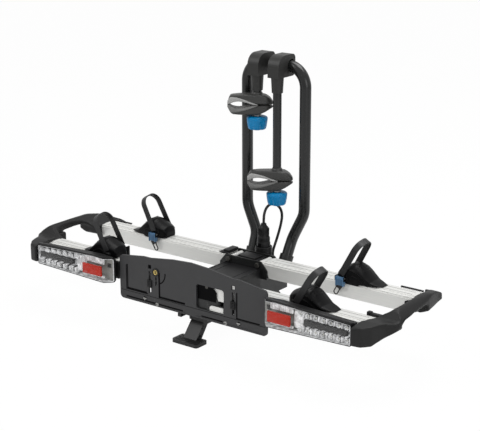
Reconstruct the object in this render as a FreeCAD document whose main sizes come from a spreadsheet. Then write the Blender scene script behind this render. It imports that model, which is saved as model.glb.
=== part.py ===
import FreeCAD, Part
import math
import os
import re
import Sketcher
from FreeCAD import Placement, Rotation, Vector

# Tow ball carrier for two bicycles, with folding wings and a tilting platform.
# Millimetres. +X is the right of somebody who reads the number plate, +Y points at the car, +Z is up.
# The origin is the centre of the tow ball that the coupling grips.

# A size that starts with an equals sign follows the others.
SIZES = [
    # Running clearances
    ("fit", 0.05, "radial clearance of a pin in its hole"),
    ("play", 0.5, "side clearance between moving faces"),
    ("seat", 0.3, "clearance between moulded parts"),
    # Coupling on the tow ball
    ("ball_dia", 50, "tow ball"),
    ("ball_gap", 0.2, "clearance round the ball"),
    ("floor_drop", 18, "floor below the ball centre when parked"),
    ("housing_half", 35, "half width of the coupling housing"),
    ("housing_back", 92, "housing behind the ball"),
    ("housing_front", 34, "housing in front of the ball"),
    ("housing_top", 38, "housing above the ball centre"),
    ("jaw_half", 20, "half width of the ball jaw"),
    ("jaw_face", -2, "front face of the ball jaw"),
    ("roof_under", 24, "underside of the housing roof"),
    ("jaw_pin_y", -38, "jaw pin"),
    ("jaw_pin_z", 14, "jaw pin height"),
    ("jaw_boss", 9, "radius of the jaw round its pin"),
    ("small_pin", 4, "radius of jaw and lever pins"),
    ("lever_pin_y", -20, "clamp lever pin"),
    ("lever_pin_z", 50, "clamp lever pin height"),
    ("lever_boss_half", 16, "half width of the lever boss"),
    ("lever_half", 23, "half width of the lever"),
    ("lever_long", 52, "lever from its pin to its end"),
    ("tilt_pin_y", -65, "tilt axis"),
    ("tilt_pin_z", 15, "tilt axis height"),
    ("tilt_pin_rad", 6, "tilt pin radius"),
    ("striker_y", -83, "striker bar of the latch"),
    # Chassis
    ("member_in", 40, "inner face of a side member"),
    ("member_thick", 12, "side member"),
    ("member_low", 45, "underside of the side members"),
    ("member_top", 80, "top of the side members between the brackets"),
    ("chassis_nose", "=front_y-rail_wide/2-2*play-bracket_wall", "front end of the chassis"),
    ("chassis_tail", 44, "rear end of the chassis"),
    ("bow_deck", 112, "underside of the bow bracket plate"),
    ("deck_thick", 6, "bow bracket plate"),
    # Rails
    ("rail_wide", 61, "rail across"),
    ("rail_high", 45, "rail height"),
    ("rail_top", 164, "top of the rails"),
    ("rail_wall", 2.5, "rail wall"),
    ("rail_start", 70, "inner end of a rail at its top"),
    ("rail_bevel", 19, "bevel of the inner end"),
    ("rail_end", "=lamp_out+9", "outer end of a rail"),
    ("rail_rib", 2, "depth of the grooves along the top"),
    ("front_y", -303.5, "front rail centre line"),
    ("rear_y", -69.5, "rear rail centre line"),
    ("wing_pin_x", 52, "wing hinge from the middle"),
    ("wing_pin_z", "=rail_top-11", "wing hinge height"),
    ("wing_pin_rad", 5, "wing hinge pin"),
    ("tongue_rad", 8.5, "rail tongue round the hinge pin"),
    ("bracket_half", 85, "half length of a hinge bracket"),
    ("bracket_wall", 4, "hinge bracket sheet"),
    # Cover and number plate holder
    ("cover_half", 64, "half width of the base cover"),
    ("cover_top", "=rail_top-22", "top of the base cover"),
    ("cover_wall", 3, "cover wall"),
    ("panel_face", "=chassis_nose-panel_thick", "front of the plate holder"),
    ("panel_thick", 6, "plate holder"),
    ("panel_half", 261, "half width of the plate holder"),
    ("panel_low", 59, "lower edge of the plate holder"),
    ("panel_side", 187, "upper corner of the plate holder"),
    ("panel_crown", 214, "middle of the arched upper edge"),
    ("panel_groove", 1.5, "depth of the grooves in the plate holder"),
    ("plate_hole_x", 122, "plate screws from the middle"),
    ("plate_hole_rad", 3, "hole of a plate screw"),
    ("window_in", 20, "window in the plate holder, left side"),
    ("window_out", 116, "window in the plate holder, right side"),
    ("window_low", 88, "lower edge of the window"),
    ("window_top", 158, "upper edge of the window"),
    ("clip_x", 148, "plate clips from the middle"),
    ("clip_low", 112, "lower edge of a clip at rest"),
    ("clip_high", 134, "upper edge of a clip at rest"),
    ("lock_x", -125, "lock from the middle"),
    ("lock_z", 161, "lock height"),
    ("lock_rad", 10, "lock barrel"),
    # Lamps
    ("lamp_in", "=panel_half+5", "inner end of a lamp"),
    ("lamp_out", 550, "outer end of a lamp"),
    ("lamp_back", "=panel_face+1.5", "back of the lamp housing"),
    ("lamp_rim", "=panel_face-43", "front rim of the lamp housing"),
    ("lens_face", "=lamp_rim-5", "front of the lens"),
    ("lens_back", "=lamp_back-10.5", "back edge of the lens"),
    ("lens_wall", 2.5, "lens wall"),
    ("lamp_low", 106, "lower edge of a lamp at its inner end"),
    ("lamp_low_out", 114, "lower edge at its outer end"),
    ("lamp_high_out", 184.5, "upper edge at its outer end"),
    ("lamp_crest", 192, "highest point of a lamp"),
    ("lamp_bevel", 20, "width of the bevelled inner corner"),
    ("lamp_turn", 28, "depth of the bevelled inner corner"),
    ("cell_pitch", 15, "step of the light cells"),
    ("cell_rad", 4, "light cell"),
    # End frames
    ("frame_in", "=lamp_out+2", "inner end of the front corner block"),
    ("frame_wide", 88, "width of an end frame"),
    ("corner_foot", 118, "underside of the corner block"),
    ("corner_top", 173, "top of the corner block"),
    ("arch_under", 168, "underside of the arch bar"),
    ("arch_top", 195, "top of the arch bar"),
    ("tail_foot", 123, "underside of the rear end"),
    ("tail_y", 8, "rear tip of an end frame"),
    # Bow
    ("bow_rad", 16.5, "bow tube radius"),
    ("bow_wall", 2, "bow tube wall"),
    ("bow_half", 103, "bow leg from the middle"),
    ("bow_y", 55, "plane of the bow"),
    ("bow_top", 709, "centre line of the crossbar"),
    ("bow_corner", 60, "bend of the upper corners"),
    ("bow_bend", 70, "bend of the kink"),
    ("knee_z", 276, "upper kink"),
    ("ankle_x", 65, "lower kink"),
    ("ankle_y", 50, "lower kink"),
    ("ankle_z", 197.5, "lower kink"),
    ("foot_x", 59.7, "tube foot"),
    ("foot_y", 15.55, "tube foot"),
    ("foot_z", 121, "tube foot"),
    ("sleeve_rad", 20.5, "sleeve round a tube foot"),
    ("sleeve_long", 34, "sleeve length"),
    # Plug, its park holder and the cable
    ("plug_y", -4, "parked plug"),
    ("plug_rad", 20, "plug shell"),
    ("plug_top", 245, "top of the plug"),
    ("plug_low", 130, "underside of the plug"),
    ("holder_rad", 27, "park holder"),
    ("holder_top", 176, "top of the park holder"),
    ("cable_rad", 4, "cable"),
    ("gland_top", "=bow_deck+24", "top of the cable gland"),
    # Foot pedal and latch
    ("pedal_pin_y", -305, "pedal hinge"),
    ("pedal_pin_z", 44, "pedal hinge height"),
    ("pedal_pin_rad", 4, "pedal pin"),
    ("leg_half", 23, "half width of the pedal leg"),
    ("tread_half", 45, "half width of the tread"),
    ("tread_thick", 10, "tread"),
    ("rod_z", 57, "latch rod height"),
    ("rod_rad", 3, "latch rod"),
    ("hook_pin_y", -112, "latch hook pin"),
    ("hook_pin_z", 66, "latch hook pin height"),
    ("hook_half", 8, "half width of the latch hook"),
    # Wheel trays: places along the rails
    ("tray_low", "=rail_top-5", "lower edge of a tray"),
    ("tray_peak", "=rail_top+54", "crest of a tray"),
    ("tray_wall", 3, "tray wall"),
    ("tray_half", "=rail_wide/2+tray_wall", "half width of a tray"),
    ("rl_in", 301, "rear left tray, inner end"),
    ("rl_peak", 354, "rear left crest"),
    ("rl_out", 455, "rear left, outer end"),
    ("rl_strap", 338, "rear left strap"),
    ("rr_in", 316, "rear right tray, inner end"),
    ("rr_peak", 366, "rear right crest"),
    ("rr_out", 470, "rear right, outer end"),
    ("rr_strap", 338, "rear right strap"),
    ("fr_in", 318, "front right tray, inner end"),
    ("fr_peak", 366, "front right crest"),
    ("fr_out", 478, "front right, outer end"),
    ("fr_strap", 348, "front right strap"),
    ("fl_in", 290, "front left tray, inner end"),
    ("fl_peak", 338, "front left crest"),
    ("fl_out", 440, "front left, outer end"),
    ("fl_strap", 319, "front left strap"),
    # Straps and buckles
    ("strap_wide", 25, "strap ribbon"),
    ("strap_thick", 3, "strap ribbon"),
    ("strap_span", "=tray_half+3.5", "half distance between the strands"),
    ("strap_bend", 27, "bend at the top of a strap"),
    ("strap_rise", 112, "strap loop along its lean"),
    ("strap_lean", 28, "lean of the strap loop in degrees"),
    ("strap_base", "=rail_top+20.6", "lower end of the strap loop"),
    ("buckle_half", 12, "half width of a buckle"),
    ("buckle_pin", 2.5, "buckle pivot radius"),
    ("buckle_z", "=rail_top+12", "buckle pivot height"),
    ("ring_rad", 11, "pull ring"),
    ("ring_wire", 2.2, "radius of the pull ring's wire"),
    # Arms that hold the bicycle frames
    ("arm_x", 35.5, "arms from the middle"),
    ("arm_y", 12, "arms behind the bow"),
    ("arm_rad", 12.5, "arm tube"),
    ("arm_wall", 2, "arm tube wall"),
    ("cap_half", 19, "half width of an arm cap"),
    ("cap_under", 30, "arm cap under the crossbar"),
    ("cap_over", 33, "arm cap over the crossbar"),
    ("cap_back", "=bow_y-65", "face of an arm cap on the plate side"),
    ("cap_front", "=bow_y+18", "face of an arm cap on the car side"),
    ("cap_bend", 14, "rounding of an arm cap"),
    ("cap_sleeve", 44, "sleeve under the cap"),
    ("claw_high", 594, "centre of the upper claw"),
    ("claw_low", 379, "centre of the lower claw"),
    ("claw_turn", 35, "parked turn of the claws in degrees"),
    ("claw_half", 24, "half thickness of a claw"),
    ("claw_left", 89, "claw tip from the arm axis"),
    ("claw_right", 44, "claw heel from the arm axis"),
    ("claw_rise", 33, "top of a claw over its parting"),
    ("claw_fall", 31, "underside of a claw"),
    ("parting", 0.3, "half gap between the jaws"),
    ("pivot_x", 35, "jaw pivot from the arm axis"),
    ("pivot_rad", 3, "jaw pivot pin"),
    ("knuckle_rad", 9, "jaw knuckle"),
    ("knuckle_half", 8.5, "half width of the lower knuckle"),
    ("bolt_rad", 4, "clamp bolt"),
    ("bolt_top", 45, "end of the clamp bolt over the parting"),
    ("washer_rad", 12, "thrust washer"),
    ("washer_thick", 3, "thrust washer"),
    ("knob_rad", 31, "clamp knob"),
    ("knob_high", 44, "clamp knob height"),
    # Fasteners
    ("screw_rad", 4, "chassis bolt shank"),
    ("screw_head", 7, "chassis bolt head"),
    ("screw_x", 46, "chassis bolts from the middle"),
    ("screw_y", 18, "chassis bolts from the rail centre line"),
    ("tail_screw_x", 25, "tail bolts from the middle"),
]

doc = FreeCAD.newDocument("bike_carrier")
sheet = doc.addObject("Spreadsheet::Sheet", "Sizes")
for row, (alias, size, note) in enumerate(SIZES, 1):
    sheet.set("A%d" % row, alias)
    sheet.set("C%d" % row, note)
    sheet.setAlias("B%d" % row, alias)
for row, (alias, size, note) in enumerate(SIZES, 1):
    sheet.set("B%d" % row, str(size))
doc.recompute()

ALIAS = re.compile(r"\b(" + "|".join(row[0] for row in SIZES) + r")\b")
NODES = []
X, Y, Z = Vector(1, 0, 0), Vector(0, 1, 0), Vector(0, 0, 1)
SIDES = (("left", -1), ("right", 1))


def text_of(size):
    """A size as text: an expression stays as it is."""
    return size if isinstance(size, str) else repr(size)


def value(size):
    """The number that an expression over the sheet's names gives."""
    result = sheet.evalExpression(text_of(size))
    return float(getattr(result, "Value", result))


def bind(target, prop, size):
    """Bind a property to an expression over the sheet's names."""
    target.setExpression(prop, ALIAS.sub(r"Sizes.\1", text_of(size)))


def neg(size):
    return "-(" + text_of(size) + ")"


def plus(size, other):
    return "(" + text_of(size) + ")+(" + text_of(other) + ")"


def signed(sign, size):
    """The size on the left (-1) or on the right (1)."""
    return text_of(size) if sign > 0 else neg(size)


def place(target, x="0", y="0", z="0", axis=Z, degrees="0"):
    """Bind a placement; the turn is read from the sheet."""
    target.Placement = Placement(Vector(value(x), value(y), value(z)), Rotation(axis, value(degrees)))
    bind(target, "Placement.Base.x", x)
    bind(target, "Placement.Base.y", y)
    bind(target, "Placement.Base.z", z)
    return target


def node(label, target):
    """Register an object as a sub-part under its label."""
    target.Label = label
    NODES.append(target)
    return target


# Primitives between named coordinates

def box(name, x0, x1, y0, y1, z0, z1):
    block = doc.addObject("Part::Box", name)
    for prop, low, high in (("Length", x0, x1), ("Width", y0, y1), ("Height", z0, z1)):
        bind(block, prop, plus(high, neg(low)))
    return place(block, x0, y0, z0)


def rod(name, axis, radius, start, end, first, second):
    """A cylinder along X, Y or Z; first and second are its other two coordinates in order."""
    round_bar = doc.addObject("Part::Cylinder", name)
    bind(round_bar, "Radius", radius)
    bind(round_bar, "Height", plus(end, neg(start)))
    if axis == "X":
        return place(round_bar, start, first, second, Y, "90")
    if axis == "Y":
        return place(round_bar, first, start, second, X, "-90")
    return place(round_bar, first, second, start)


def cone(name, low_radius, high_radius, start, end, x, y):
    taper = doc.addObject("Part::Cone", name)
    bind(taper, "Radius1", low_radius)
    bind(taper, "Radius2", high_radius)
    bind(taper, "Height", plus(end, neg(start)))
    return place(taper, x, y, start)


def fuse(name, *pieces):
    joined = doc.addObject("Part::MultiFuse", name)
    joined.Shapes = list(pieces)
    joined.Refine = True
    return joined


def cut(name, base, *tools):
    result = doc.addObject("Part::Cut", name)
    result.Base = base
    result.Tool = tools[0] if len(tools) == 1 else fuse(name + "_tools", *tools)
    result.Refine = True
    return result


def common(name, *pieces):
    shared = doc.addObject("Part::MultiCommon", name)
    shared.Shapes = list(pieces)
    shared.Refine = True
    return shared


def mirrored(name, source):
    twin = doc.addObject("Part::Mirroring", name)
    twin.Source = source
    twin.Normal = X
    return twin


# Bodies with sketches

def new_body(name):
    return doc.addObject("PartDesign::Body", name)


def sketch_at(body, plane, level):
    """A sketch on the body's XY, XZ or YZ plane, moved to a coordinate of the third axis."""
    origin = [f for f in body.Origin.OriginFeatures if f.Role == plane + "_Plane"][0]
    sketch = body.newObject("Sketcher::SketchObject", body.Name + "_sketch")
    sketch.AttachmentSupport = (origin, [""])
    sketch.MapMode = "FlatFace"
    bind(sketch, "AttachmentOffset.Base.z", neg(level) if plane == "XZ" else level)
    return sketch


def draw_polygon(sketch, points):
    """A closed polygon with every corner bound to the sheet."""
    corners = [(value(a), value(b)) for a, b in points]
    first = sketch.GeometryCount
    count = len(points)
    for index in range(count):
        here, there = corners[index], corners[(index + 1) % count]
        line = Part.LineSegment(Vector(here[0], here[1], 0), Vector(there[0], there[1], 0))
        sketch.addGeometry(line, False)
    for index in range(count):
        joint = Sketcher.Constraint("Coincident", first + index, 2, first + (index + 1) % count, 1)
        sketch.addConstraint(joint)
    for index, point in enumerate(points):
        for kind, size, number in zip(("DistanceX", "DistanceY"), point, corners[index]):
            pin = sketch.addConstraint(Sketcher.Constraint(kind, -1, 1, first + index, 1, number))
            bind(sketch, "Constraints[%d]" % pin, size)


def draw_circle(sketch, a, b, radius):
    first = sketch.GeometryCount
    centre = Vector(value(a), value(b), 0)
    sketch.addGeometry(Part.Circle(centre, Z, value(radius)), False)
    pin = sketch.addConstraint(Sketcher.Constraint("Radius", first, value(radius)))
    bind(sketch, "Constraints[%d]" % pin, radius)
    for kind, size in (("DistanceX", a), ("DistanceY", b)):
        pin = sketch.addConstraint(Sketcher.Constraint(kind, -1, 1, first, 3, value(size)))
        bind(sketch, "Constraints[%d]" % pin, size)


def draw(sketch, outlines):
    """Polygons are lists of corners; circles are (a, b, radius)."""
    for outline in outlines:
        if isinstance(outline, tuple):
            draw_circle(sketch, *outline)
        else:
            draw_polygon(sketch, outline)


def slab(body, plane, start, end, *outlines):
    """Add material from one coordinate to the next, across the sketch plane."""
    sketch = sketch_at(body, plane, start)
    draw(sketch, outlines)
    pad = body.newObject("PartDesign::Pad", body.Name + "_pad")
    pad.Profile = sketch
    pad.Reversed = plane == "XZ"
    bind(pad, "Length", plus(end, neg(start)))
    doc.recompute()
    return pad


def slot(body, plane, start, end, *outlines):
    """Take material away from one coordinate to the next, and check that some went."""
    before = body.Shape.Volume
    sketch = sketch_at(body, plane, start)
    draw(sketch, outlines)
    pocket = body.newObject("PartDesign::Pocket", body.Name + "_pocket")
    pocket.Profile = sketch
    pocket.Reversed = plane != "XZ"
    bind(pocket, "Length", plus(end, neg(start)))
    doc.recompute()
    if body.Shape.Volume > before - 0.01:
        raise ValueError("a pocket of %s removes nothing" % body.Name)
    return pocket


def round_corners(body, axis, radius, places=None):
    """Fillet the edges that run along an axis, all of them or those at the given places."""
    base = body.Tip
    across = [i for i in range(3) if abs(axis[i]) < 0.5]
    wanted = None if places is None else [(value(a), value(b)) for a, b in places]
    names = []
    for number, edge in enumerate(base.Shape.Edges, 1):
        if not isinstance(edge.Curve, Part.Line):
            continue
        along = edge.tangentAt(edge.FirstParameter)
        if abs(abs(along.dot(axis)) - 1) > 1e-6:
            continue
        spot = [edge.CenterOfMass[i] for i in across]
        if wanted is None or min(math.dist(spot, place) for place in wanted) < 0.6:
            names.append("Edge%d" % number)
    fillet = body.newObject("PartDesign::Fillet", body.Name + "_fillet")
    fillet.Base = (base, names)
    bind(fillet, "Radius", radius)
    doc.recompute()
    return fillet


def rectangle(a0, a1, b0, b1):
    return [(a0, b0), (a1, b0), (a1, b1), (a0, b1)]


# Swept tubes and ribbons

def rounded_path(points, radii):
    """Straight runs joined by tangent arcs, one radius for each inner point."""
    edges = []
    start = points[0]
    for index, radius in enumerate(radii, 1):
        corner = points[index]
        back = (points[index - 1] - corner).normalize()
        ahead = (points[index + 1] - corner).normalize()
        half = (math.pi - back.getAngle(ahead)) / 2
        reach = radius * math.tan(half)
        first = corner + back * reach
        last = corner + ahead * reach
        inward = (back + ahead).normalize()
        middle = corner + inward * (radius / math.cos(half) - radius)
        edges.append(Part.LineSegment(start, first).toShape())
        edges.append(Part.Arc(first, middle, last).toShape())
        start = last
    edges.append(Part.LineSegment(start, points[-1]).toShape())
    return Part.Wire(edges)


def swept_circle(path, points, radius):
    ring = Part.Circle(points[0], points[1] - points[0], radius).toShape()
    return path.makePipeShell([Part.Wire([ring])], True, True)


def feature(name, shape):
    """A solid set by code, where neither a body nor a primitive fits."""
    target = doc.addObject("Part::Feature", name)
    target.Shape = shape
    return target


# Coupling

def coupling_parts():
    """Housing over the ball, the jaw that grips it, the lever and the pins."""
    housing = new_body("housing_body")
    low = "-floor_drop"
    slab(housing, "YZ", "-housing_half", "housing_half",
         [("-housing_back", low), ("housing_front", low), ("housing_front", "housing_top-12"),
          ("housing_front-12", "housing_top"), ("lever_pin_y-20", "housing_top"),
          ("-housing_back+14", "tilt_pin_z+16"), ("-housing_back", "tilt_pin_z+6")])
    slab(housing, "YZ", "-lever_boss_half", "lever_boss_half",
         [("lever_pin_y-10", "housing_top-2"), ("lever_pin_y+10", "housing_top-2"),
          ("lever_pin_y+8", "lever_pin_z+7"), ("lever_pin_y-8", "lever_pin_z+7")])
    slot(housing, "XY", low, "roof_under",
         rectangle("-(jaw_half+play)", "jaw_half+play", "-(housing_back+1)", "0"))
    for centre, size, half in ((("lever_pin_y", "lever_pin_z"), "small_pin+fit", "housing_half+1"),
                               (("jaw_pin_y", "jaw_pin_z"), "small_pin+fit", "housing_half+1"),
                               (("striker_y", "tilt_pin_z"), "small_pin+fit", "housing_half+1"),
                               (("tilt_pin_y", "tilt_pin_z"), "tilt_pin_rad+fit", "housing_half+1")):
        slot(housing, "YZ", neg(half), half, (centre[0], centre[1], size))
    ball = doc.addObject("Part::Sphere", "ball_space")
    bind(ball, "Radius", "ball_dia/2+ball_gap")
    neck = rod("neck_space", "Z", "ball_dia/2+ball_gap", "-floor_drop-1", "0", "0", "0")
    node("coupling_housing", cut("coupling_housing", housing, ball, neck))

    jaw = new_body("jaw_body")
    slab(jaw, "YZ", "-jaw_half", "jaw_half",
         [("jaw_pin_y-jaw_boss+2", "4-floor_drop"), ("jaw_face", "4-floor_drop"),
          ("jaw_face", "jaw_pin_z+jaw_boss"), ("jaw_pin_y", "jaw_pin_z+jaw_boss"),
          ("jaw_pin_y-jaw_boss*0.7", "jaw_pin_z+jaw_boss*0.7"), ("jaw_pin_y-jaw_boss", "jaw_pin_z")])
    slot(jaw, "YZ", "-jaw_half-1", "jaw_half+1", ("jaw_pin_y", "jaw_pin_z", "small_pin+fit"))
    cup = doc.addObject("Part::Sphere", "jaw_cup")
    bind(cup, "Radius", "ball_dia/2+ball_gap")
    node("coupling_jaw", cut("coupling_jaw", jaw, cup))

    lever = new_body("clamp_lever")
    slab(lever, "YZ", "-lever_half", "lever_half",
         [("lever_pin_y-4", "lever_pin_z-6"), ("lever_pin_y+6", "lever_pin_z-6"),
          ("lever_pin_y+lever_long*0.86", "lever_pin_z-6+lever_long*0.5"),
          ("lever_pin_y+lever_long*0.86", "lever_pin_z+4+lever_long*0.5"),
          ("lever_pin_y", "lever_pin_z+7"), ("lever_pin_y-7", "lever_pin_z")])
    slot(lever, "XY", "lever_pin_z-10", "lever_pin_z+lever_long",
         rectangle("-(lever_boss_half+play)", "lever_boss_half+play", "lever_pin_y-20", "lever_pin_y+24"))
    slot(lever, "YZ", "-lever_half-1", "lever_half+1", ("lever_pin_y", "lever_pin_z", "small_pin+fit"))
    node("clamp_lever", lever)

    tilt_end = "member_in+member_thick+3"
    node("coupling_pins", fuse(
        "coupling_pins",
        rod("jaw_pin", "X", "small_pin", "-housing_half", "housing_half", "jaw_pin_y", "jaw_pin_z"),
        rod("lever_pin", "X", "small_pin", "-lever_half", "lever_half", "lever_pin_y", "lever_pin_z"),
        rod("striker_bar", "X", "small_pin", "-housing_half", "housing_half", "striker_y", "tilt_pin_z"),
        rod("tilt_pin", "X", "tilt_pin_rad", neg(tilt_end), tilt_end, "tilt_pin_y", "tilt_pin_z")))


# Chassis, brackets and cover

def bolt_places():
    """Bolt centres and the level that each head sits on."""
    spots = []
    for rail_y in ("front_y", "rear_y"):
        for step in ("-screw_y", "+screw_y"):
            spots.append((rail_y + step, "rail_top-rail_high-play"))
    deck = "bow_deck+deck_thick"
    spots.append(("plug_y-16", deck))
    places = [(signed(sign, "screw_x"), y, level) for _, sign in SIDES for y, level in spots]
    return places + [(signed(sign, "tail_screw_x"), "chassis_tail-6", deck) for _, sign in SIDES]


def chassis():
    """Two side members, cross members and the ears of the tilt and pedal hinges."""
    frame = new_body("chassis_frame")
    floor = "rail_top-rail_high-play-bracket_wall"
    half = "rail_wide/2+play+bracket_wall"
    rear_low, rear_high = plus("rear_y", neg(half)), plus("rear_y", half)
    front_high = plus("front_y", half)
    side = [("chassis_nose", "member_low"), ("tilt_pin_y-25", "member_low"),
            ("tilt_pin_y-14", "tilt_pin_z-12"), ("tilt_pin_y+14", "tilt_pin_z-12"),
            ("tilt_pin_y+22", "member_low"), ("chassis_tail", "member_low"),
            ("chassis_tail", "bow_deck"), (rear_high, "bow_deck"), (rear_high, floor),
            (rear_low, floor), (rear_low, "member_top"), (front_high, "member_top"),
            (front_high, floor), ("chassis_nose", floor)]
    slab(frame, "YZ", "member_in", "member_in+member_thick", side)
    crosses = [("chassis_nose", "chassis_nose+38", "member_low+21", floor, "member_in"),
               ("front_y+29", "front_y+42", "member_low", "member_top", "cover_half"),
               ("hook_pin_y-38", "hook_pin_y-26", "member_low", "member_top", "cover_half"),
               ("chassis_tail-12", "chassis_tail", "member_low+45", "bow_deck", "member_in")]
    for y0, y1, z0, z1, width in crosses:
        slab(frame, "XZ", y0, y1, rectangle("-member_in-1", "member_in+1", z0, z1))
        if width == "cover_half":
            flange = rectangle("-cover_half", "cover_half", "member_top-4", "member_top")
            slab(frame, "XZ", y0, y1, flange)
    slab(frame, "YZ", "-member_in-member_thick", "-member_in", side)
    for ear in (("leg_half+1", "leg_half+7"), ("-leg_half-7", "-leg_half-1")):
        slab(frame, "YZ", *ear,
             [("pedal_pin_y-13", "member_low+22"), ("pedal_pin_y-9", "pedal_pin_z-9"),
              ("pedal_pin_y+9", "pedal_pin_z-9"), ("pedal_pin_y+4", "member_low+22")])
    wide = "member_in+member_thick+1"
    slot(frame, "YZ", neg(wide), wide, ("tilt_pin_y", "tilt_pin_z", "tilt_pin_rad+fit"),
         ("hook_pin_y", "hook_pin_z", "rod_rad+fit"))
    slot(frame, "YZ", "-leg_half-8", "leg_half+8", ("pedal_pin_y", "pedal_pin_z", "pedal_pin_rad+fit"))
    slot(frame, "XZ", "front_y+28", "hook_pin_y-25", ("0", "rod_z", "rod_rad+fit"))
    for x, y, level in bolt_places():
        slot(frame, "XY", level + "-22", level, (x, y, "screw_rad+fit"))
    node("chassis_frame", frame)


def hinge_bracket(label, rail_y):
    """A sheet channel round the inner ends of two rails."""
    bracket = new_body(label)
    inner = "rail_wide/2+play"
    outer = inner + "+bracket_wall"
    bed = "rail_top-rail_high-play"
    top = "rail_top+1"
    profile = [(neg(outer), bed + "-bracket_wall"), (outer, bed + "-bracket_wall"), (outer, top),
               (inner, top), (inner, bed), (neg(inner), bed), (neg(inner), top), (neg(outer), top)]
    slab(bracket, "YZ", "-bracket_half", "bracket_half", [(plus(rail_y, offset), z) for offset, z in profile])
    holes = [(signed(sign, "wing_pin_x"), "wing_pin_z", "wing_pin_rad+fit") for _, sign in SIDES]
    across = (plus(rail_y, neg(outer) + "-1"), plus(rail_y, outer + "+1"))
    slot(bracket, "XZ", *across, *holes)
    for _, sign in SIDES:
        corner = [(signed(sign, "bracket_half+1"), top + "+1"), (signed(sign, "bracket_half-22"), top + "+1"),
                  (signed(sign, "bracket_half+1"), top + "-26")]
        slot(bracket, "XZ", *across, corner)
    for step in ("-screw_y", "screw_y"):
        for _, sign in SIDES:
            slot(bracket, "XY", bed + "-bracket_wall-1", bed + "+1",
                 (signed(sign, "screw_x"), plus(rail_y, step), "screw_rad+fit"))
    node(label, bracket)


def hinge_pins():
    """Pins of the four wing hinges, of the pedal and of the latch hook."""
    pins = []
    outer = "(rail_wide/2+play+bracket_wall)"
    for name, rail_y in (("front", "front_y"), ("rear", "rear_y")):
        for side, sign in SIDES:
            tag = "%s_%s" % (name, side)
            x = signed(sign, "wing_pin_x")
            low, high = "%s-%s" % (rail_y, outer), "%s+%s" % (rail_y, outer)
            shank = rod("shank_" + tag, "Y", "wing_pin_rad", low, high, x, "wing_pin_z")
            nut = rod("nut_" + tag, "Y", "wing_pin_rad+3", high, high + "+3", x, "wing_pin_z")
            pins += [shank, nut]
            if name == "rear":
                pins.append(rod("head_" + tag, "Y", "wing_pin_rad+3", low + "-3", low, x, "wing_pin_z"))
    pedal_end, hook_end = "leg_half+9", "member_in+member_thick+2"
    pins.append(rod("pedal_pin", "X", "pedal_pin_rad", neg(pedal_end), pedal_end,
                    "pedal_pin_y", "pedal_pin_z"))
    pins.append(rod("hook_pin", "X", "rod_rad", neg(hook_end), hook_end, "hook_pin_y", "hook_pin_z"))
    node("hinge_pins", fuse("hinge_pins", *pins))


def chassis_bolts():
    """Identical bolts that hold the brackets down."""
    bolts = []
    for count, (x, y, level) in enumerate(bolt_places()):
        shank = rod("bolt_shank_%d" % count, "Z", "screw_rad", level + "-20", level, x, y)
        head = rod("bolt_head_%d" % count, "Z", "screw_head", level, level + "+5", x, y)
        bolts += [shank, head]
    node("chassis_bolts", fuse("chassis_bolts", *bolts))


def base_cover():
    """The cover between the brackets, with a raised ridge at each side."""
    cover = new_body("base_cover")
    low = "front_y+rail_wide/2+play+bracket_wall+play"
    high = "rear_y-(rail_wide/2+play+bracket_wall+play)"
    slab(cover, "XZ", low, high,
         [("-cover_half", "member_top"), ("cover_half", "member_top"), ("cover_half", "cover_top+1.5"),
          ("cover_half-4", "cover_top+1.5"), ("cover_half-5", "cover_top"), ("-(cover_half-5)", "cover_top"),
          ("-(cover_half-4)", "cover_top+1.5"), ("-cover_half", "cover_top+1.5")])
    inner = "cover_half-cover_wall"
    slot(cover, "XY", "member_top-1", "cover_top-cover_wall",
         rectangle(neg(inner), inner, low + "+cover_wall", high + "-cover_wall"))
    node("base_cover", cover)


# Number plate holder, clips and lock

def span(sign, centre, low, high):
    """Two coordinates about a centre on the left (-1) or on the right (1), the lower first."""
    ends = (signed(sign, plus(centre, low)), signed(sign, plus(centre, high)))
    return ends if sign > 0 else ends[::-1]


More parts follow.
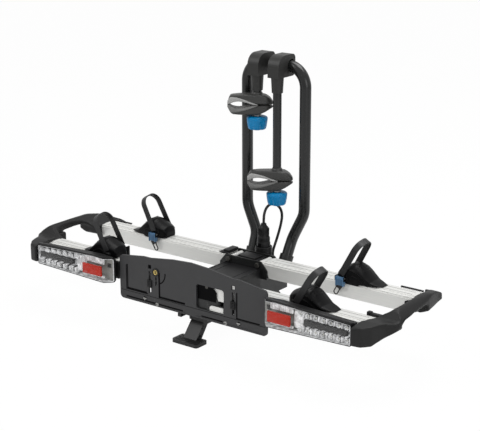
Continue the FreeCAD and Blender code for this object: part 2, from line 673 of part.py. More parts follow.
def plate_holder():
    """Arched panel with its grooves, slots, window and lock opening."""
    panel = new_body("plate_holder")
    front, back = "panel_face-1", "panel_face+panel_thick"
    half_outline = [("panel_half", "panel_low"), ("panel_half", "panel_side"),
                    ("panel_half-89", "panel_side+12"), ("panel_half-115", "panel_side+12"),
                    ("panel_half/4", "panel_crown-4"), ("0", "panel_crown")]
    outline = half_outline + [(neg(x), z) for x, z in reversed(half_outline[:-1])]
    slab(panel, "XZ", "panel_face", back, outline)
    corners = [(signed(s, "panel_half"), z) for _, s in SIDES for z in ("panel_low", "panel_side")]
    round_corners(panel, Y, "panel_thick*2", corners)
    groove = "panel_face+panel_groove"
    lines = [rectangle("-(panel_half-6)", "panel_half-6", "panel_low+25", "panel_low+27"),
             rectangle("-(panel_half-23)", "-(panel_half-26)", "panel_low+33", "panel_side-24"),
             rectangle("-(panel_half-23)", "-(clip_x+8)", "panel_low+30", "panel_low+33"),
             rectangle("-(clip_x-32)", "-(clip_x-35)", "panel_low+31", "panel_side-32"),
             rectangle("-(clip_x-32)", "-(window_in+1)", "panel_low+28", "panel_low+31"),
             rectangle("clip_x+10.5", "clip_x+13.5", "panel_low+31", "panel_side-29"),
             rectangle("clip_x+10.5", "panel_half-23", "panel_low+28", "panel_low+31")]
    for line in lines:
        slot(panel, "XZ", front, groove, line)
    for _, sign in SIDES:
        long_slot = rectangle(*span(sign, "clip_x", "-4", "4"), "panel_low+36", "panel_side-27")
        square = rectangle(*span(sign, "clip_x", "-6", "6"), "panel_side-20", "panel_side-8")
        hole = (signed(sign, "plate_hole_x"), "panel_low+7", "plate_hole_rad")
        slot(panel, "XZ", front, back + "+1", long_slot, square, hole)
        foot = rectangle(*span(sign, "clip_x", "15", "24"), "panel_low+11", "panel_low+21")
        slot(panel, "XZ", front, groove, foot)
    slot(panel, "XZ", front, back + "+1", rectangle("window_in", "window_out", "window_low", "window_top"))
    corners = [(x, z) for x in ("window_in", "window_out") for z in ("window_low", "window_top")]
    round_corners(panel, Y, "8", corners)
    slot(panel, "XZ", front, back + "+1", ("lock_x", "lock_z", "lock_rad+fit"),
         rectangle("lock_x-3", "lock_x+3", "lock_z-40", "lock_z-26"))
    node("plate_holder", panel)


def plate_clips():
    """A slider in each long slot, with a wider plate in front and behind."""
    back = "panel_face+panel_thick"
    for side, sign in SIDES:
        clip = new_body("plate_clip_" + side)
        for half, start, end in (("3.7", "panel_face", back), ("8", "panel_face-4", "panel_face"),
                                 ("8", back, back + "+3")):
            ends = span(sign, "clip_x", neg(half), half)
            slab(clip, "XZ", start, end, rectangle(*ends, "clip_low", "clip_high"))
        node("plate_clip_" + side, clip)


def lock():
    barrel = new_body("lock_cylinder")
    slab(barrel, "XZ", "panel_face-1", "panel_face+10.5", ("lock_x", "lock_z", "lock_rad"))
    slab(barrel, "XZ", "panel_face-3", "panel_face", ("lock_x", "lock_z", "lock_rad+2"))
    key_slot = rectangle("lock_x-1.2", "lock_x+1.2", "lock_z-5", "lock_z+5")
    slot(barrel, "XZ", "panel_face-4", "panel_face+4", key_slot)
    node("lock_cylinder", barrel)


# Lamps

def lamp_outline(grow):
    """Front outline of the lens, grown or shrunk by a distance."""
    return [(plus("lamp_in+4", neg(grow)), plus("lamp_low+6", neg(grow))),
            (plus("lamp_out-2", grow), plus("lamp_low_out+4", neg(grow))),
            (plus("lamp_out-2", grow), plus("lamp_high_out-14.5", grow)),
            ("lamp_in+56", plus("lamp_crest-12", grow)),
            (plus("lamp_in+4", neg(grow)), plus("lamp_crest-16", grow))]


def lamp_inside(inset):
    """Outline of the hollow behind the lens, made smaller by a distance."""
    return [(plus("lamp_in+26", inset), plus("lamp_low+9", inset)),
            (plus("lamp_out-5", neg(inset)), plus("lamp_low_out+7", inset)),
            (plus("lamp_out-5", neg(inset)), plus("lamp_high_out-17.5", neg(inset))),
            ("lamp_in+56", plus("lamp_crest-15", neg(inset))),
            (plus("lamp_in+26", inset), plus("lamp_crest-17", neg(inset)))]


def inner_corner(body, x, face, depth):
    """Bevel the inner front corner, where the lamp turns back."""
    before, front, run = plus(x, "-1"), plus(face, "-1"), plus(x, "lamp_bevel")
    slot(body, "XY", "lamp_low-20", "lamp_crest+20",
         [(before, front), (run, front), (run, face), (x, plus(face, depth)), (before, plus(face, depth))])


def lamps():
    """Right lamp pieces and their mirrored twins."""
    shell = new_body("housing_right_body")
    slab(shell, "XZ", "lamp_rim", "lamp_back",
         [("lamp_in", "lamp_low"), ("lamp_out", "lamp_low_out"), ("lamp_out", "lamp_high_out"),
          ("lamp_in+134", "lamp_high_out+4"), ("lamp_in+24", "lamp_crest"), ("lamp_in", "lamp_crest-6")])
    slot(shell, "XZ", "lamp_rim-1", "lens_back", lamp_outline("seat"))
    inner_corner(shell, "lamp_in", "lamp_rim", "lamp_turn")
    for low, high in (("lamp_in+34", "lamp_in+64"), ("lamp_out-70", "lamp_out-40")):
        foot = rectangle(low, high, "rail_top-36", "rail_top-14")
        slab(shell, "XZ", "lamp_back", "front_y-rail_wide/2", foot)
    lens = new_body("lens_right_body")
    slab(lens, "XZ", "lens_face", "lens_back", lamp_outline("0"))
    inner_corner(lens, "lamp_in+4", "lens_face", "lamp_turn+3")
    slot(lens, "XZ", "lens_face+lens_wall", "lens_back+1", lamp_inside("0"))
    optic = new_body("optic_right_body")
    board, inside = "lens_back-8", "lens_face+lens_wall"
    slab(optic, "XZ", board, "lens_back", lamp_inside("1"))
    reflector = rectangle("lamp_in+28", "lamp_in+100", "lamp_low+19", "lamp_low+49")
    slab(optic, "XZ", inside + "+seat", board, reflector)
    light_bar = rectangle("lamp_in+144", "lamp_out-10", "lamp_low+36", "lamp_low+50")
    slab(optic, "XZ", inside + "+4", board, light_bar)
    for count in range(9):
        x = "lamp_out-26-cell_pitch*%d" % count
        for level in ("lamp_crest-30", "lamp_low+28"):
            slab(optic, "XZ", inside + "+16", board, (x, level, "cell_rad"))
    for label, body in (("lamp_housing", shell), ("lamp_lens", lens), ("lamp_reflector", optic)):
        node(label + "_right", body)
        node(label + "_left", mirrored(label + "_left", body))


# Rails and end frames

def rail(label, rail_y):
    """Hollow rail with grooves along its top, a bevelled inner end and the hinge tongue."""
    low = "rail_top-rail_high"
    bar = new_body(label + "_body")
    steps = [("0", low), ("0", "rail_top-6"), ("3", "rail_top-6"), ("3", "rail_top-rail_rib"),
             ("14", "rail_top-rail_rib"), ("14", "rail_top")]
    outer = [(plus(rail_y, plus("-rail_wide/2", inset)), z) for inset, z in steps]
    outer += [(plus(rail_y, plus("rail_wide/2", neg(inset))), z) for inset, z in reversed(steps)]
    walls = (plus(rail_y, "-rail_wide/2+rail_wall"), plus(rail_y, "rail_wide/2-rail_wall"))
    hollow = rectangle(*walls, low + "+rail_wall", "rail_top-6-rail_wall")
    slab(bar, "YZ", "rail_start", "rail_end", outer, hollow)
    bevel = "rail_start+rail_bevel"
    slot(bar, "XZ", plus(rail_y, "-rail_wide/2-1"), plus(rail_y, "rail_wide/2+1"),
         [("rail_start-1", low + "-1"), (bevel, low + "-1"), (bevel, low),
          ("rail_start", "rail_top-6"), ("rail_start-1", "rail_top-6")])
    slab(bar, "XZ", *walls,
         rectangle("wing_pin_x", "rail_start+50", "wing_pin_z-tongue_rad", "rail_top-6-rail_wall/2"))
    slab(bar, "XZ", *walls, ("wing_pin_x", "wing_pin_z", "tongue_rad"))
    slot(bar, "XZ", plus(rail_y, "-rail_wide/2"), plus(rail_y, "rail_wide/2"),
         ("wing_pin_x", "wing_pin_z", "wing_pin_rad+fit"))
    node(label + "_right", bar)
    node(label + "_left", mirrored(label + "_left", bar))


def frame_x(share):
    """A coordinate across an end frame, from 0 at its inner end to 1 at its widest point."""
    return "frame_in+frame_wide*%s" % share


def end_frame():
    """Moulded end of a wing: corner block, arch bar that leans outwards and rear end."""
    side = new_body("frame_side")
    slab(side, "YZ", "frame_in-10", frame_x(1.1),
         [("lamp_rim-8", "corner_foot+4"), ("lamp_rim", "corner_foot"), ("front_y+59.5", "corner_foot"),
          ("front_y+63.5", "corner_foot+4"), ("front_y+63.5", "arch_under-14"),
          ("front_y+67.5", "arch_under-6"), ("front_y+78.5", "arch_under"),
          ("rear_y-80.5", "arch_under+3"), ("rear_y-68.5", "arch_under+1"),
          ("rear_y-61.5", "arch_under-6"), ("rear_y-61.5", "tail_foot+17"), ("rear_y-42.5", "tail_foot+2"),
          ("rear_y-27.5", "tail_foot"), ("rear_y+43.5", "tail_foot"), ("tail_y", "tail_foot+11"),
          ("tail_y", "tail_foot+25"), ("tail_y-28", "arch_top-30"), ("rear_y+9.5", "arch_top-13"),
          ("rear_y-44.5", "arch_top-3"), ("(front_y+rear_y)/2-3.5", "arch_top"),
          ("front_y+41.5", "arch_top-1"),
          ("front_y+25.5", "arch_top-8"), ("front_y+13.5", "corner_top-1"), ("front_y+1.5", "corner_top-4"),
          ("front_y-36.5", "corner_top"), ("lamp_rim", "corner_top-2"), ("lamp_rim-8", "corner_top-7")])
    plan = new_body("frame_plan")
    slab(plan, "XY", "corner_foot-18", "arch_top+15",
         [("frame_in", "lamp_rim-8"), (frame_x(0.32), "lamp_rim"), (frame_x(0.52), "lamp_rim+22"),
          (frame_x(0.7), "front_y-20.5"), (frame_x(0.955), "front_y+3.5"), (frame_x(1), "front_y+23.5"),
          (frame_x(1), "front_y+59.5"), (frame_x(0.91), "(front_y+rear_y)/2-13.5"),
          (frame_x(0.84), "rear_y-61.5"), (frame_x(0.7), "rear_y+9.5"), (frame_x(0.67), "tail_y-12"),
          (frame_x(0.57), "tail_y"), ("frame_in-4", "tail_y"), ("frame_in-4", "rear_y-58.5"),
          (frame_x(0.32), "rear_y-66.5"), (frame_x(0.455), "rear_y-86.5"),
          (frame_x(0.52), "rear_y-120.5"), (frame_x(0.52), "front_y+73.5"),
          (frame_x(0.455), "front_y+41.5"), (frame_x(0.32), "front_y+35.5"),
          ("frame_in-4", "front_y+35.5"), ("frame_in-4", "lamp_back+1"), ("frame_in", "lamp_back+1")])
    front = new_body("frame_front")
    slab(front, "XZ", "lamp_rim-12", "tail_y+4",
         [("frame_in-6", "corner_foot-8"), (frame_x(1.02), "corner_foot-8"), (frame_x(1.02), "arch_top-35"),
          (frame_x(0.93), "arch_top-19"), (frame_x(0.77), "arch_top-6"), (frame_x(0.61), "arch_top+2"),
          ("frame_in-6", "arch_top+2")])
    blank = common("frame_blank", side, plan, front)
    sockets = []
    across = ("-(rail_wide/2+fit)", "rail_wide/2+fit")
    for name, rail_y in (("front_socket", "front_y"), ("rear_socket", "rear_y")):
        low, high = [plus(rail_y, offset) for offset in across]
        sockets.append(box(name, "frame_in-20", "rail_end+fit", low, high,
                           "rail_top-rail_high-fit", "rail_top+fit"))
    right = node("end_frame_right", cut("end_frame_right", blank, *sockets))
    node("end_frame_left", mirrored("end_frame_left", right))


# Bow with its bracket

def foot_direction():
    foot = Vector(value("foot_x"), value("foot_y"), value("foot_z"))
    ankle = Vector(value("ankle_x"), value("ankle_y"), value("ankle_z"))
    return foot, (ankle - foot).normalize()


def bow():
    """Bent tube: feet, kinked legs and crossbar."""
    half = [Vector(*(value(n) for n in names)) for names in (
        ("foot_x", "foot_y", "foot_z"), ("ankle_x", "ankle_y", "ankle_z"),
        ("bow_half", "bow_y", "knee_z"), ("bow_half", "bow_y", "bow_top"))]
    left = [Vector(-p.x, p.y, p.z) for p in reversed(half)]
    points = half + left
    bends = [value("bow_bend"), value("bow_bend"), value("bow_corner")]
    path = rounded_path(points, bends + bends[::-1])
    outer = swept_circle(path, points, value("bow_rad"))
    inner = swept_circle(path, points, value("bow_rad-bow_wall"))
    node("bow_tube", feature("bow_tube", outer.cut(inner)))


def bow_bracket():
    """Plate on the chassis with two slanted sleeves for the tube feet."""
    plate_start = "rear_y+rail_wide/2+play+bracket_wall+play"
    plate = box("bow_plate", "-bracket_half+1", "bracket_half-1", plate_start, "chassis_tail",
                "bow_deck", "bow_deck+deck_thick")
    sleeves = []
    bores = []
    foot, direction = foot_direction()
    for side, sign in SIDES:
        start = Vector(sign * foot.x, foot.y, foot.z)
        along = Vector(sign * direction.x, direction.y, direction.z)
        for name, size, back, long, group in (("sleeve", "sleeve_rad", 8, "sleeve_long+8", sleeves),
                                              ("bore", "bow_rad+fit", 0, "sleeve_long+20", bores)):
            pipe = doc.addObject("Part::Cylinder", "%s_%s" % (name, side))
            bind(pipe, "Radius", size)
            bind(pipe, "Height", long)
            pipe.Placement = Placement(start - along * back, Rotation(Z, along))
            group.append(pipe)
    room = box("bracket_room", "-200", "200", "-100", "200", "bow_deck", "bow_deck+90")
    body = common("bracket_blank", fuse("bracket_joined", plate, *sleeves), room)
    spots = [(x, y) for x, y, level in bolt_places() if level.startswith("bow_deck")]
    holes = [rod("bracket_hole_%d" % count, "Z", "screw_rad+fit", "bow_deck-1", "bow_deck+deck_thick+1", x, y)
             for count, (x, y) in enumerate(spots)]
    node("bow_bracket", cut("bow_bracket", body, *bores, *holes))


# Plug, park holder, cable and gland

def plug_parts():
    cup = cone("holder_cup", "holder_rad", "holder_rad-2", "bow_deck+deck_thick", "holder_top", "0", "plug_y")
    bore = rod("holder_bore", "Z", "plug_rad+seat", "plug_low", "holder_top+1", "0", "plug_y")
    node("plug_holder", cut("plug_holder", cup, bore))
    plug = new_body("plug")
    sketch = sketch_at(plug, "XZ", "0")
    long = "(plug_top-plug_low)"
    draw(sketch, [[("0", "0"), ("plug_rad-1", "0"), ("plug_rad-1", long + "*0.31"),
                   ("plug_rad", long + "*0.33"), ("plug_rad", long + "*0.5"),
                   ("plug_rad-2", long + "*0.54"), ("plug_rad-2", long + "*0.64"),
                   ("plug_rad-4", long + "*0.68"), ("plug_rad-6", long + "*0.9"),
                   ("plug_rad-11", long + "-6"), ("plug_rad-12", long), ("0", long)]])
    turn = plug.newObject("PartDesign::Revolution", "plug_turn")
    turn.Profile = sketch
    turn.ReferenceAxis = (sketch, ["V_Axis"])
    turn.Angle = 360
    place(plug, "0", "plug_y", "plug_low")
    node("plug", plug)


CABLE_POINTS = [(0, -4, 245), (0, -4, 256), (-1, 0, 274), (-2, 12, 289), (1, 28, 297), (9, 45, 294),
                (17, 57, 280), (20, 62, 259), (17, 60, 231), (12, 54, 202), (8, 46, 176), (6, 38, 158),
                (6, 34, 147), (6, 34, 136)]


def cable():
    """Free cable from the plug's top to the gland, by straight runs and tangent arcs."""
    points = [Vector(*point) for point in CABLE_POINTS]
    radii = []
    for before, here, after in zip(points, points[1:], points[2:]):
        turn = (here - before).getAngle(after - here)
        shorter = min((here - before).Length, (after - here).Length)
        radii.append(0.45 * shorter / math.tan(turn / 2))
    path = rounded_path(points, radii)
    tube = swept_circle(path, points, value("cable_rad"))
    print("cable radii", [round(r) for r in radii], "length", round(path.Length, 1))
    print("cable volume ratio", round(tube.Volume / (math.pi * value("cable_rad") ** 2 * path.Length), 4))
    node("cable", feature("cable", tube))
    end = CABLE_POINTS[-1]
    base = "bow_deck+deck_thick"
    spot = (str(end[0]), str(end[1]))
    nut = rod("gland_nut", "Z", "cable_rad+5", base, base + "+8", *spot)
    tip = cone("gland_cone", "cable_rad+4", "cable_rad+1.5", base + "+8", "gland_top", *spot)
    node("cable_gland", fuse("cable_gland", nut, tip))


# Foot pedal and latch

def pedal_parts():
    """Leg with the tread that the parked carrier stands on, its spring and the latch."""
    pedal = new_body("foot_pedal")
    front, back = "pedal_pin_y-22", "pedal_pin_y-72"
    tread_top = "-floor_drop+tread_thick"
    slab(pedal, "YZ", "-leg_half", "leg_half",
         [("pedal_pin_y-10", "pedal_pin_z-8"), ("pedal_pin_y-9", "pedal_pin_z+6"),
          ("pedal_pin_y+4", "pedal_pin_z+9"), ("pedal_pin_y+9", "pedal_pin_z"),
          ("pedal_pin_y+8", "pedal_pin_z-14"), (front, tread_top + "-2"), (front + "-27", tread_top + "-2")])
    slot(pedal, "YZ", "-leg_half+4", "leg_half-4",
         [("pedal_pin_y-7", "pedal_pin_z-9"), ("pedal_pin_y-7", "pedal_pin_z+12"),
          ("pedal_pin_y+12", "pedal_pin_z+12"), ("pedal_pin_y+12", "pedal_pin_z-14"),
          (front + "+4", tread_top), (front + "-22", tread_top)])
    slab(pedal, "XY", "-floor_drop", tread_top, rectangle("-tread_half", "tread_half", back, front))
    corners = [(signed(s, "tread_half"), y) for _, s in SIDES for y in (front, back)]
    round_corners(pedal, Z, "8", corners)
    slab(pedal, "YZ", "-5", "5", rectangle("pedal_pin_y-9", "pedal_pin_y-5", "pedal_pin_z-6", "rod_z+4"))
    slot(pedal, "YZ", "-leg_half-1", "leg_half+1", ("pedal_pin_y", "pedal_pin_z", "pedal_pin_rad+fit"))
    for level in ("pedal_pin_z-22", "0"):
        slab(pedal, "YZ", "leg_half", "leg_half+3",
             ("pedal_pin_y-(pedal_pin_z-(%s))*0.5-4" % level, level, "4"))
    node("foot_pedal", pedal)
    pin = ("pedal_pin_y", "pedal_pin_z")
    coil = rod("spring_coil", "X", "pedal_pin_rad+2.5", "7", "leg_half-5", *pin)
    bore = rod("spring_bore", "X", "pedal_pin_rad+fit", "6", "leg_half-4", *pin)
    node("pedal_spring", cut("pedal_spring", coil, bore))
    rod_ends = ("pedal_pin_y-5+seat", "hook_pin_y-5-seat")
    node("latch_rod", rod("latch_rod", "Y", "rod_rad", *rod_ends, "0", "rod_z"))
    hook = new_body("latch_hook")
    nose = "tilt_pin_y-23.5"
    slab(hook, "YZ", "-hook_half", "hook_half",
         [("hook_pin_y-5", "hook_pin_z+5"), ("hook_pin_y+5", "hook_pin_z+5"),
          ("hook_pin_y+7", "hook_pin_z-3"), ("hook_pin_y+13", "tilt_pin_z+22"),
          (nose, "tilt_pin_z+9"), (nose, "tilt_pin_z+4"),
          ("hook_pin_y+17", "tilt_pin_z+1"), ("hook_pin_y+3", "tilt_pin_z+15"), ("hook_pin_y-5", "rod_z-6")])
    slot(hook, "YZ", "-hook_half-1", "hook_half+1", ("hook_pin_y", "hook_pin_z", "rod_rad+fit"))
    node("latch_hook", hook)


# Wheel trays with straps and buckles

def tray_profile(ends, inset):
    """Side outline of a tray from its inner to its outer end, or of the hollow inside it."""
    wall = "tray_wall*%d" % inset
    start, peak, end = ends["in"], ends["peak"], ends["out"]
    top = "tray_peak-" + wall
    floor = "rail_top+seat" if inset else "tray_low"
    hump = [(plus(start, wall), floor), (plus(start, wall), plus("tray_low+22", "-%d" % inset)),
            (plus(start + "+6", wall), plus("tray_low+38", "-2*" + wall)), (peak + "-14", top + "-5"),
            (peak + "-4", top), (peak + "+6", top), (peak + "+30", top + "-9"),
            (plus(end + "-24", "-" + wall), plus("tray_low+19", "-" + wall))]
    if inset:
        return hump + [(plus(end, "-4*" + wall), floor)]
    return hump + [(end, "tray_low+10"), (end, floor)]


def tray(label, sign, rail_y, key, buckle_side):
    """Hollow hump over a rail, with ears for its buckle and a lug for the strap's far end."""
    ends = {part: "%s_%s" % (key, part) for part in ("in", "peak", "out", "strap")}
    strap = ends["strap"]
    body = new_body(label + "_body")

    def across(low, high):
        return span(sign, "0", low, high)

    def beside(low, high):
        return [plus(rail_y, size) for size in span(buckle_side, "0", low, high)]

    def away(low, high):
        return [plus(rail_y, size) for size in span(-buckle_side, "0", low, high)]

    outside = [(signed(sign, a), b) for a, b in tray_profile(ends, 0)]
    slab(body, "XZ", plus(rail_y, "-tray_half"), plus(rail_y, "tray_half"), outside)
    hollow = "tray_half-tray_wall"
    inside = [(signed(sign, a), b) for a, b in tray_profile(ends, 1)]
    slot(body, "XZ", plus(rail_y, neg(hollow)), plus(rail_y, hollow), inside)
    slot(body, "XY", "tray_low-1", "rail_top+seat",
         rectangle(*across(ends["in"] + "-1", ends["out"] + "+1"),
                   plus(rail_y, "-(rail_wide/2+seat)"), plus(rail_y, "rail_wide/2+seat")))
    pivot = "tray_half+7.5"
    pin = (plus(rail_y, signed(buckle_side, pivot)), "buckle_z")
    for low, high in (("-buckle_half-4", "-buckle_half-seat"), ("buckle_half+seat", "buckle_half+4")):
        ear = rectangle(*beside("tray_half-1", pivot + "+5"), "buckle_z-9", "buckle_z+6")
        slab(body, "YZ", *across(plus(strap, low), plus(strap, high)), ear)
    slot(body, "YZ", *across(strap + "-buckle_half-5", strap + "+buckle_half+5"), (*pin, "buckle_pin+fit"))
    lug = rectangle(*away("tray_half-1", "tray_half+1.5"), "buckle_z-12", "buckle_z+2")
    slab(body, "YZ", *across(strap + "-buckle_half", strap + "+buckle_half"), lug)
    node(label, body)

    buckle = new_body("buckle_" + key)
    plate = rectangle(*beside(pivot + "-6.5", pivot + "+6"), "buckle_z-20", "buckle_z+2")
    slab(buckle, "YZ", *across(strap + "-buckle_half", strap + "+buckle_half"), plate)
    slab(buckle, "YZ", *across(strap + "-buckle_half-3.5", strap + "+buckle_half+3.5"), (*pin, "buckle_pin"))
    recess = rectangle(*beside(pivot + "+2", pivot + "+7"), "buckle_z-16", "buckle_z-6")
    slot(buckle, "YZ", *across(strap + "-5", strap + "+5"), recess)
    node("buckle_" + label[5:], buckle)
    strap_loop(label, sign, rail_y, strap, buckle_side)


def strap_loop(label, sign, rail_y, strap, buckle_side):
    """Ribbon loop over the wheel, and its tail with the pull ring."""
    half, rise = value("strap_span"), value("strap_rise")
    thick, wide = value("strap_thick"), value("strap_wide")
    corners = [Vector(0, -half, 0), Vector(0, 3.5 - half, rise - 10), Vector(0, half - 3.5, rise + 2),
               Vector(0, half, 0)]
    path = rounded_path(corners, [value("strap_bend"), value("strap_bend+3")])
    section = Part.makePolygon([Vector(a * wide / 2, -half + b * thick / 2, 0)
                                for a, b in ((-1, -1), (1, -1), (1, 1), (-1, 1), (-1, -1))])
    loop = path.makePipeShell([section], True, True)
    loop.rotate(Vector(0, 0, 0), Y, sign * value("strap_lean"))
    loop.translate(Vector(sign * value(strap), value(rail_y), value("strap_base")))
    hang_y = value(rail_y) + buckle_side * value("tray_half+8")
    low = value("buckle_z-20.3")
    tail = Part.makeBox(18, 2, 10, Vector(sign * value(strap) - 9, hang_y - 1, low - 10))
    ring_z = low - 10 - value("ring_rad-ring_wire/2")
    spot = Vector(sign * value(strap), hang_y, ring_z)
    ring = Part.makeTorus(value("ring_rad"), value("ring_wire"), spot, Y)
    node("strap_" + label[5:], feature("strap_" + label[5:], Part.makeCompound([loop, tail.fuse(ring)])))


# Arms with their claws

def arm(side, sign, claw_z):
    """Cap on the crossbar, arm tube, two jaws, clamp knob with its bolt, and washer."""
    x = signed(sign, "arm_x")
    low, high = "bow_top-cap_under", "bow_top+cap_over"
    cap = new_body("cap_%s_body" % side)
    slab(cap, "YZ", plus(x, "-cap_half"), plus(x, "cap_half"),
         rectangle("cap_back", "cap_front", low, high))
    round_corners(cap, X, "cap_bend", [("cap_back", high), ("cap_front", high), ("cap_front", low)])
    sleeve_end, socket_end = low + "-cap_sleeve", low + "+21"
    sleeve = cone("cap_sleeve_" + side, "arm_rad+3.5", "arm_rad+6", sleeve_end, low + "+1", x, "arm_y")
    bar = rod("cap_bar_" + side, "X", "bow_rad+2*fit", plus(x, "-cap_half-1"), plus(x, "cap_half+1"),
              "bow_y", "bow_top")
    bore = rod("cap_bore_" + side, "Z", "arm_rad+fit", sleeve_end + "-1", socket_end, x, "arm_y")
    bend = sorted((plus(x, signed(sign, "cap_half+1")), signed(sign, "bow_half-bow_corner-1")), key=value)
    relief = rod("cap_relief_" + side, "X", "bow_rad+2.5", bend[0], bend[1], "bow_y", "bow_top")
    slit = box("cap_slit_" + side, plus(x, "-cap_half-1"), plus(x, "cap_half+1"),
               "bow_y+bow_rad-2", "cap_front+1", "bow_top-1", "bow_top+1")
    blank = fuse("cap_blank_" + side, cap, sleeve)
    node("arm_cap_" + side, cut("arm_cap_" + side, blank, bar, relief, bore, slit))
    outside = rod("arm_outer_" + side, "Z", "arm_rad", claw_z + "+12+seat", socket_end, x, "arm_y")
    inside = rod("arm_inner_" + side, "Z", "arm_rad-arm_wall", claw_z, socket_end + "+1", x, "arm_y")
    node("arm_tube_" + side, cut("arm_tube_" + side, outside, inside))
    claw(side, x, claw_z)


def claw_plan(name):
    """Plan outline of a claw, slimmer at its tip and heel."""
    plan = new_body(name)
    half = [("claw_right", "claw_half-11"), ("claw_right-12", "claw_half"), ("-20", "claw_half"),
            ("-claw_left+32", "claw_half-4"), ("-claw_left", "claw_half-14")]
    slab(plan, "XY", "-60", "60", half + [(a, neg(b)) for a, b in reversed(half)])
    return plan


def mouth(sign):
    """Lens shaped opening between the jaws, upper or lower half, from heel to tip."""
    points = [("-6", 0), ("-16", 7), ("-30", 11), ("-48", 12), ("-66", 9.5), ("-claw_left+9", 4),
              ("-claw_left+5", 0)]
    return [(x, plus(signed(sign, "parting"), sign * z)) for x, z in points]


def claw(side, x, claw_z):
    """Upper jaw, lower jaw, thrust washer and knob of one arm."""
    spot = (x, "arm_y", claw_z, Z, "claw_turn")
    upper = new_body("upper_%s_body" % side)
    slab(upper, "XZ", "-claw_half", "claw_half",
         [("claw_right", "parting")] + mouth(1) +
         [("-claw_left-1", "6"), ("-claw_left+11", "20"), ("-claw_left+31", "claw_rise-4"),
          ("-30", "claw_rise"), ("12", "claw_rise"), ("34", "claw_rise-4"), ("claw_right", "16")])
    upper_blank = common("upper_%s_blank" % side, upper, claw_plan("upper_%s_plan" % side))
    ears = []
    for a, b in (("knuckle_half+play", "knuckle_half+play+5"),
                 ("-knuckle_half-play-5", "-knuckle_half-play")):
        ears.append(rod("ear_%s_%d" % (side, len(ears)), "Y", "knuckle_rad", a, b, "pivot_x", "0"))
    pin_end = "knuckle_half+play+5"
    pin = rod("pivot_pin_" + side, "Y", "pivot_rad", neg(pin_end), pin_end, "pivot_x", "0")
    room_end = "knuckle_half+play"
    pocket = rod("knuckle_room_" + side, "Y", "knuckle_rad+2*seat", neg(room_end), room_end, "pivot_x", "0")
    carved = cut("upper_%s_carved" % side, fuse("upper_%s_joined" % side, upper_blank, *ears), pocket)
    with_pin = fuse("upper_%s_pinned" % side, carved, pin)
    seat_bore = rod("arm_seat_" + side, "Z", "arm_rad+fit", "12", "claw_rise+1", "0", "0")
    thread = rod("bolt_bore_" + side, "Z", "bolt_rad+fit", "-1", "13", "0", "0")
    node("upper_jaw_" + side, place(cut("upper_jaw_" + side, with_pin, seat_bore, thread), *spot))

    lower = new_body("lower_%s_body" % side)
    slab(lower, "XZ", "-claw_half", "claw_half",
         [("pivot_x-2", "-parting")] + mouth(-1) +
         [("-claw_left-1", "-6"), ("-claw_left+11", "-20"), ("-claw_left+31", "-claw_fall+3"),
          ("-26", "-claw_fall"), ("20", "-claw_fall"), ("34", "-claw_fall+3"), ("claw_right", "-16"),
          ("claw_right", "-5")])
    lower_blank = common("lower_%s_blank" % side, lower, claw_plan("lower_%s_plan" % side))
    rooms = []
    for a, b in (("knuckle_half+seat-play/2", "knuckle_half+play+5.5"),
                 ("-knuckle_half-play-5.5", "-knuckle_half-seat+play/2")):
        room = "ear_room_%s_%d" % (side, len(rooms))
        rooms.append(rod(room, "Y", "knuckle_rad+2*seat", a, b, "pivot_x", "0"))
    knuckle = rod("knuckle_" + side, "Y", "knuckle_rad", "-knuckle_half", "knuckle_half", "pivot_x", "0")
    eye_end = "knuckle_half+1"
    eye = rod("knuckle_eye_" + side, "Y", "pivot_rad+fit", neg(eye_end), eye_end, "pivot_x", "0")
    way = box("bolt_way_" + side, "-bolt_rad-14.5", "bolt_rad+1.5", "-bolt_rad-play", "bolt_rad+play",
              "-claw_fall-1", "1")
    joined = fuse("lower_%s_joined" % side, cut("lower_%s_carved" % side, lower_blank, *rooms), knuckle)
    node("lower_jaw_" + side, place(cut("lower_jaw_" + side, joined, eye, way), *spot))

    washer_low = "-claw_fall-washer_thick"
    washer = cut("thrust_washer_" + side,
                 rod("washer_disc_" + side, "Z", "washer_rad", washer_low, "-claw_fall", "0", "0"),
                 rod("washer_bore_" + side, "Z", "bolt_rad+fit", washer_low + "-1", "-claw_fall+1", "0", "0"))
    node("thrust_washer_" + side, place(washer, *spot))

    knob = new_body("clamp_knob_" + side)
    sketch = sketch_at(knob, "XZ", "0")
    low = washer_low + "-knob_high"
    draw(sketch, [[("0", low), ("knob_rad-6", low), ("knob_rad-4", low + "+2"),
                   ("knob_rad-1", washer_low + "-14"), ("knob_rad", washer_low + "-12"),
                   ("knob_rad", washer_low + "-4"), ("knob_rad-3", washer_low), ("bolt_rad", washer_low),
                   ("bolt_rad", "bolt_top-1"), ("bolt_rad-1", "bolt_top"), ("0", "bolt_top")]])
    turn = knob.newObject("PartDesign::Revolution", "knob_turn")
    turn.Profile = sketch
    turn.ReferenceAxis = (sketch, ["V_Axis"])
    turn.Angle = 360
    doc.recompute()
    scallop = slot(knob, "XY", low + "-1", washer_low + "-13", ("knob_rad+24", "0", "27"))
    pattern = knob.newObject("PartDesign::PolarPattern", "knob_pattern")
    pattern.Originals = [scallop]
    pattern.Axis = ([f for f in knob.Origin.OriginFeatures if f.Role == "Z_Axis"][0], [""])
    pattern.Angle = 360
    pattern.Occurrences = 6
    knob.Tip = pattern
    node("clamp_knob_" + side, place(knob, *spot))


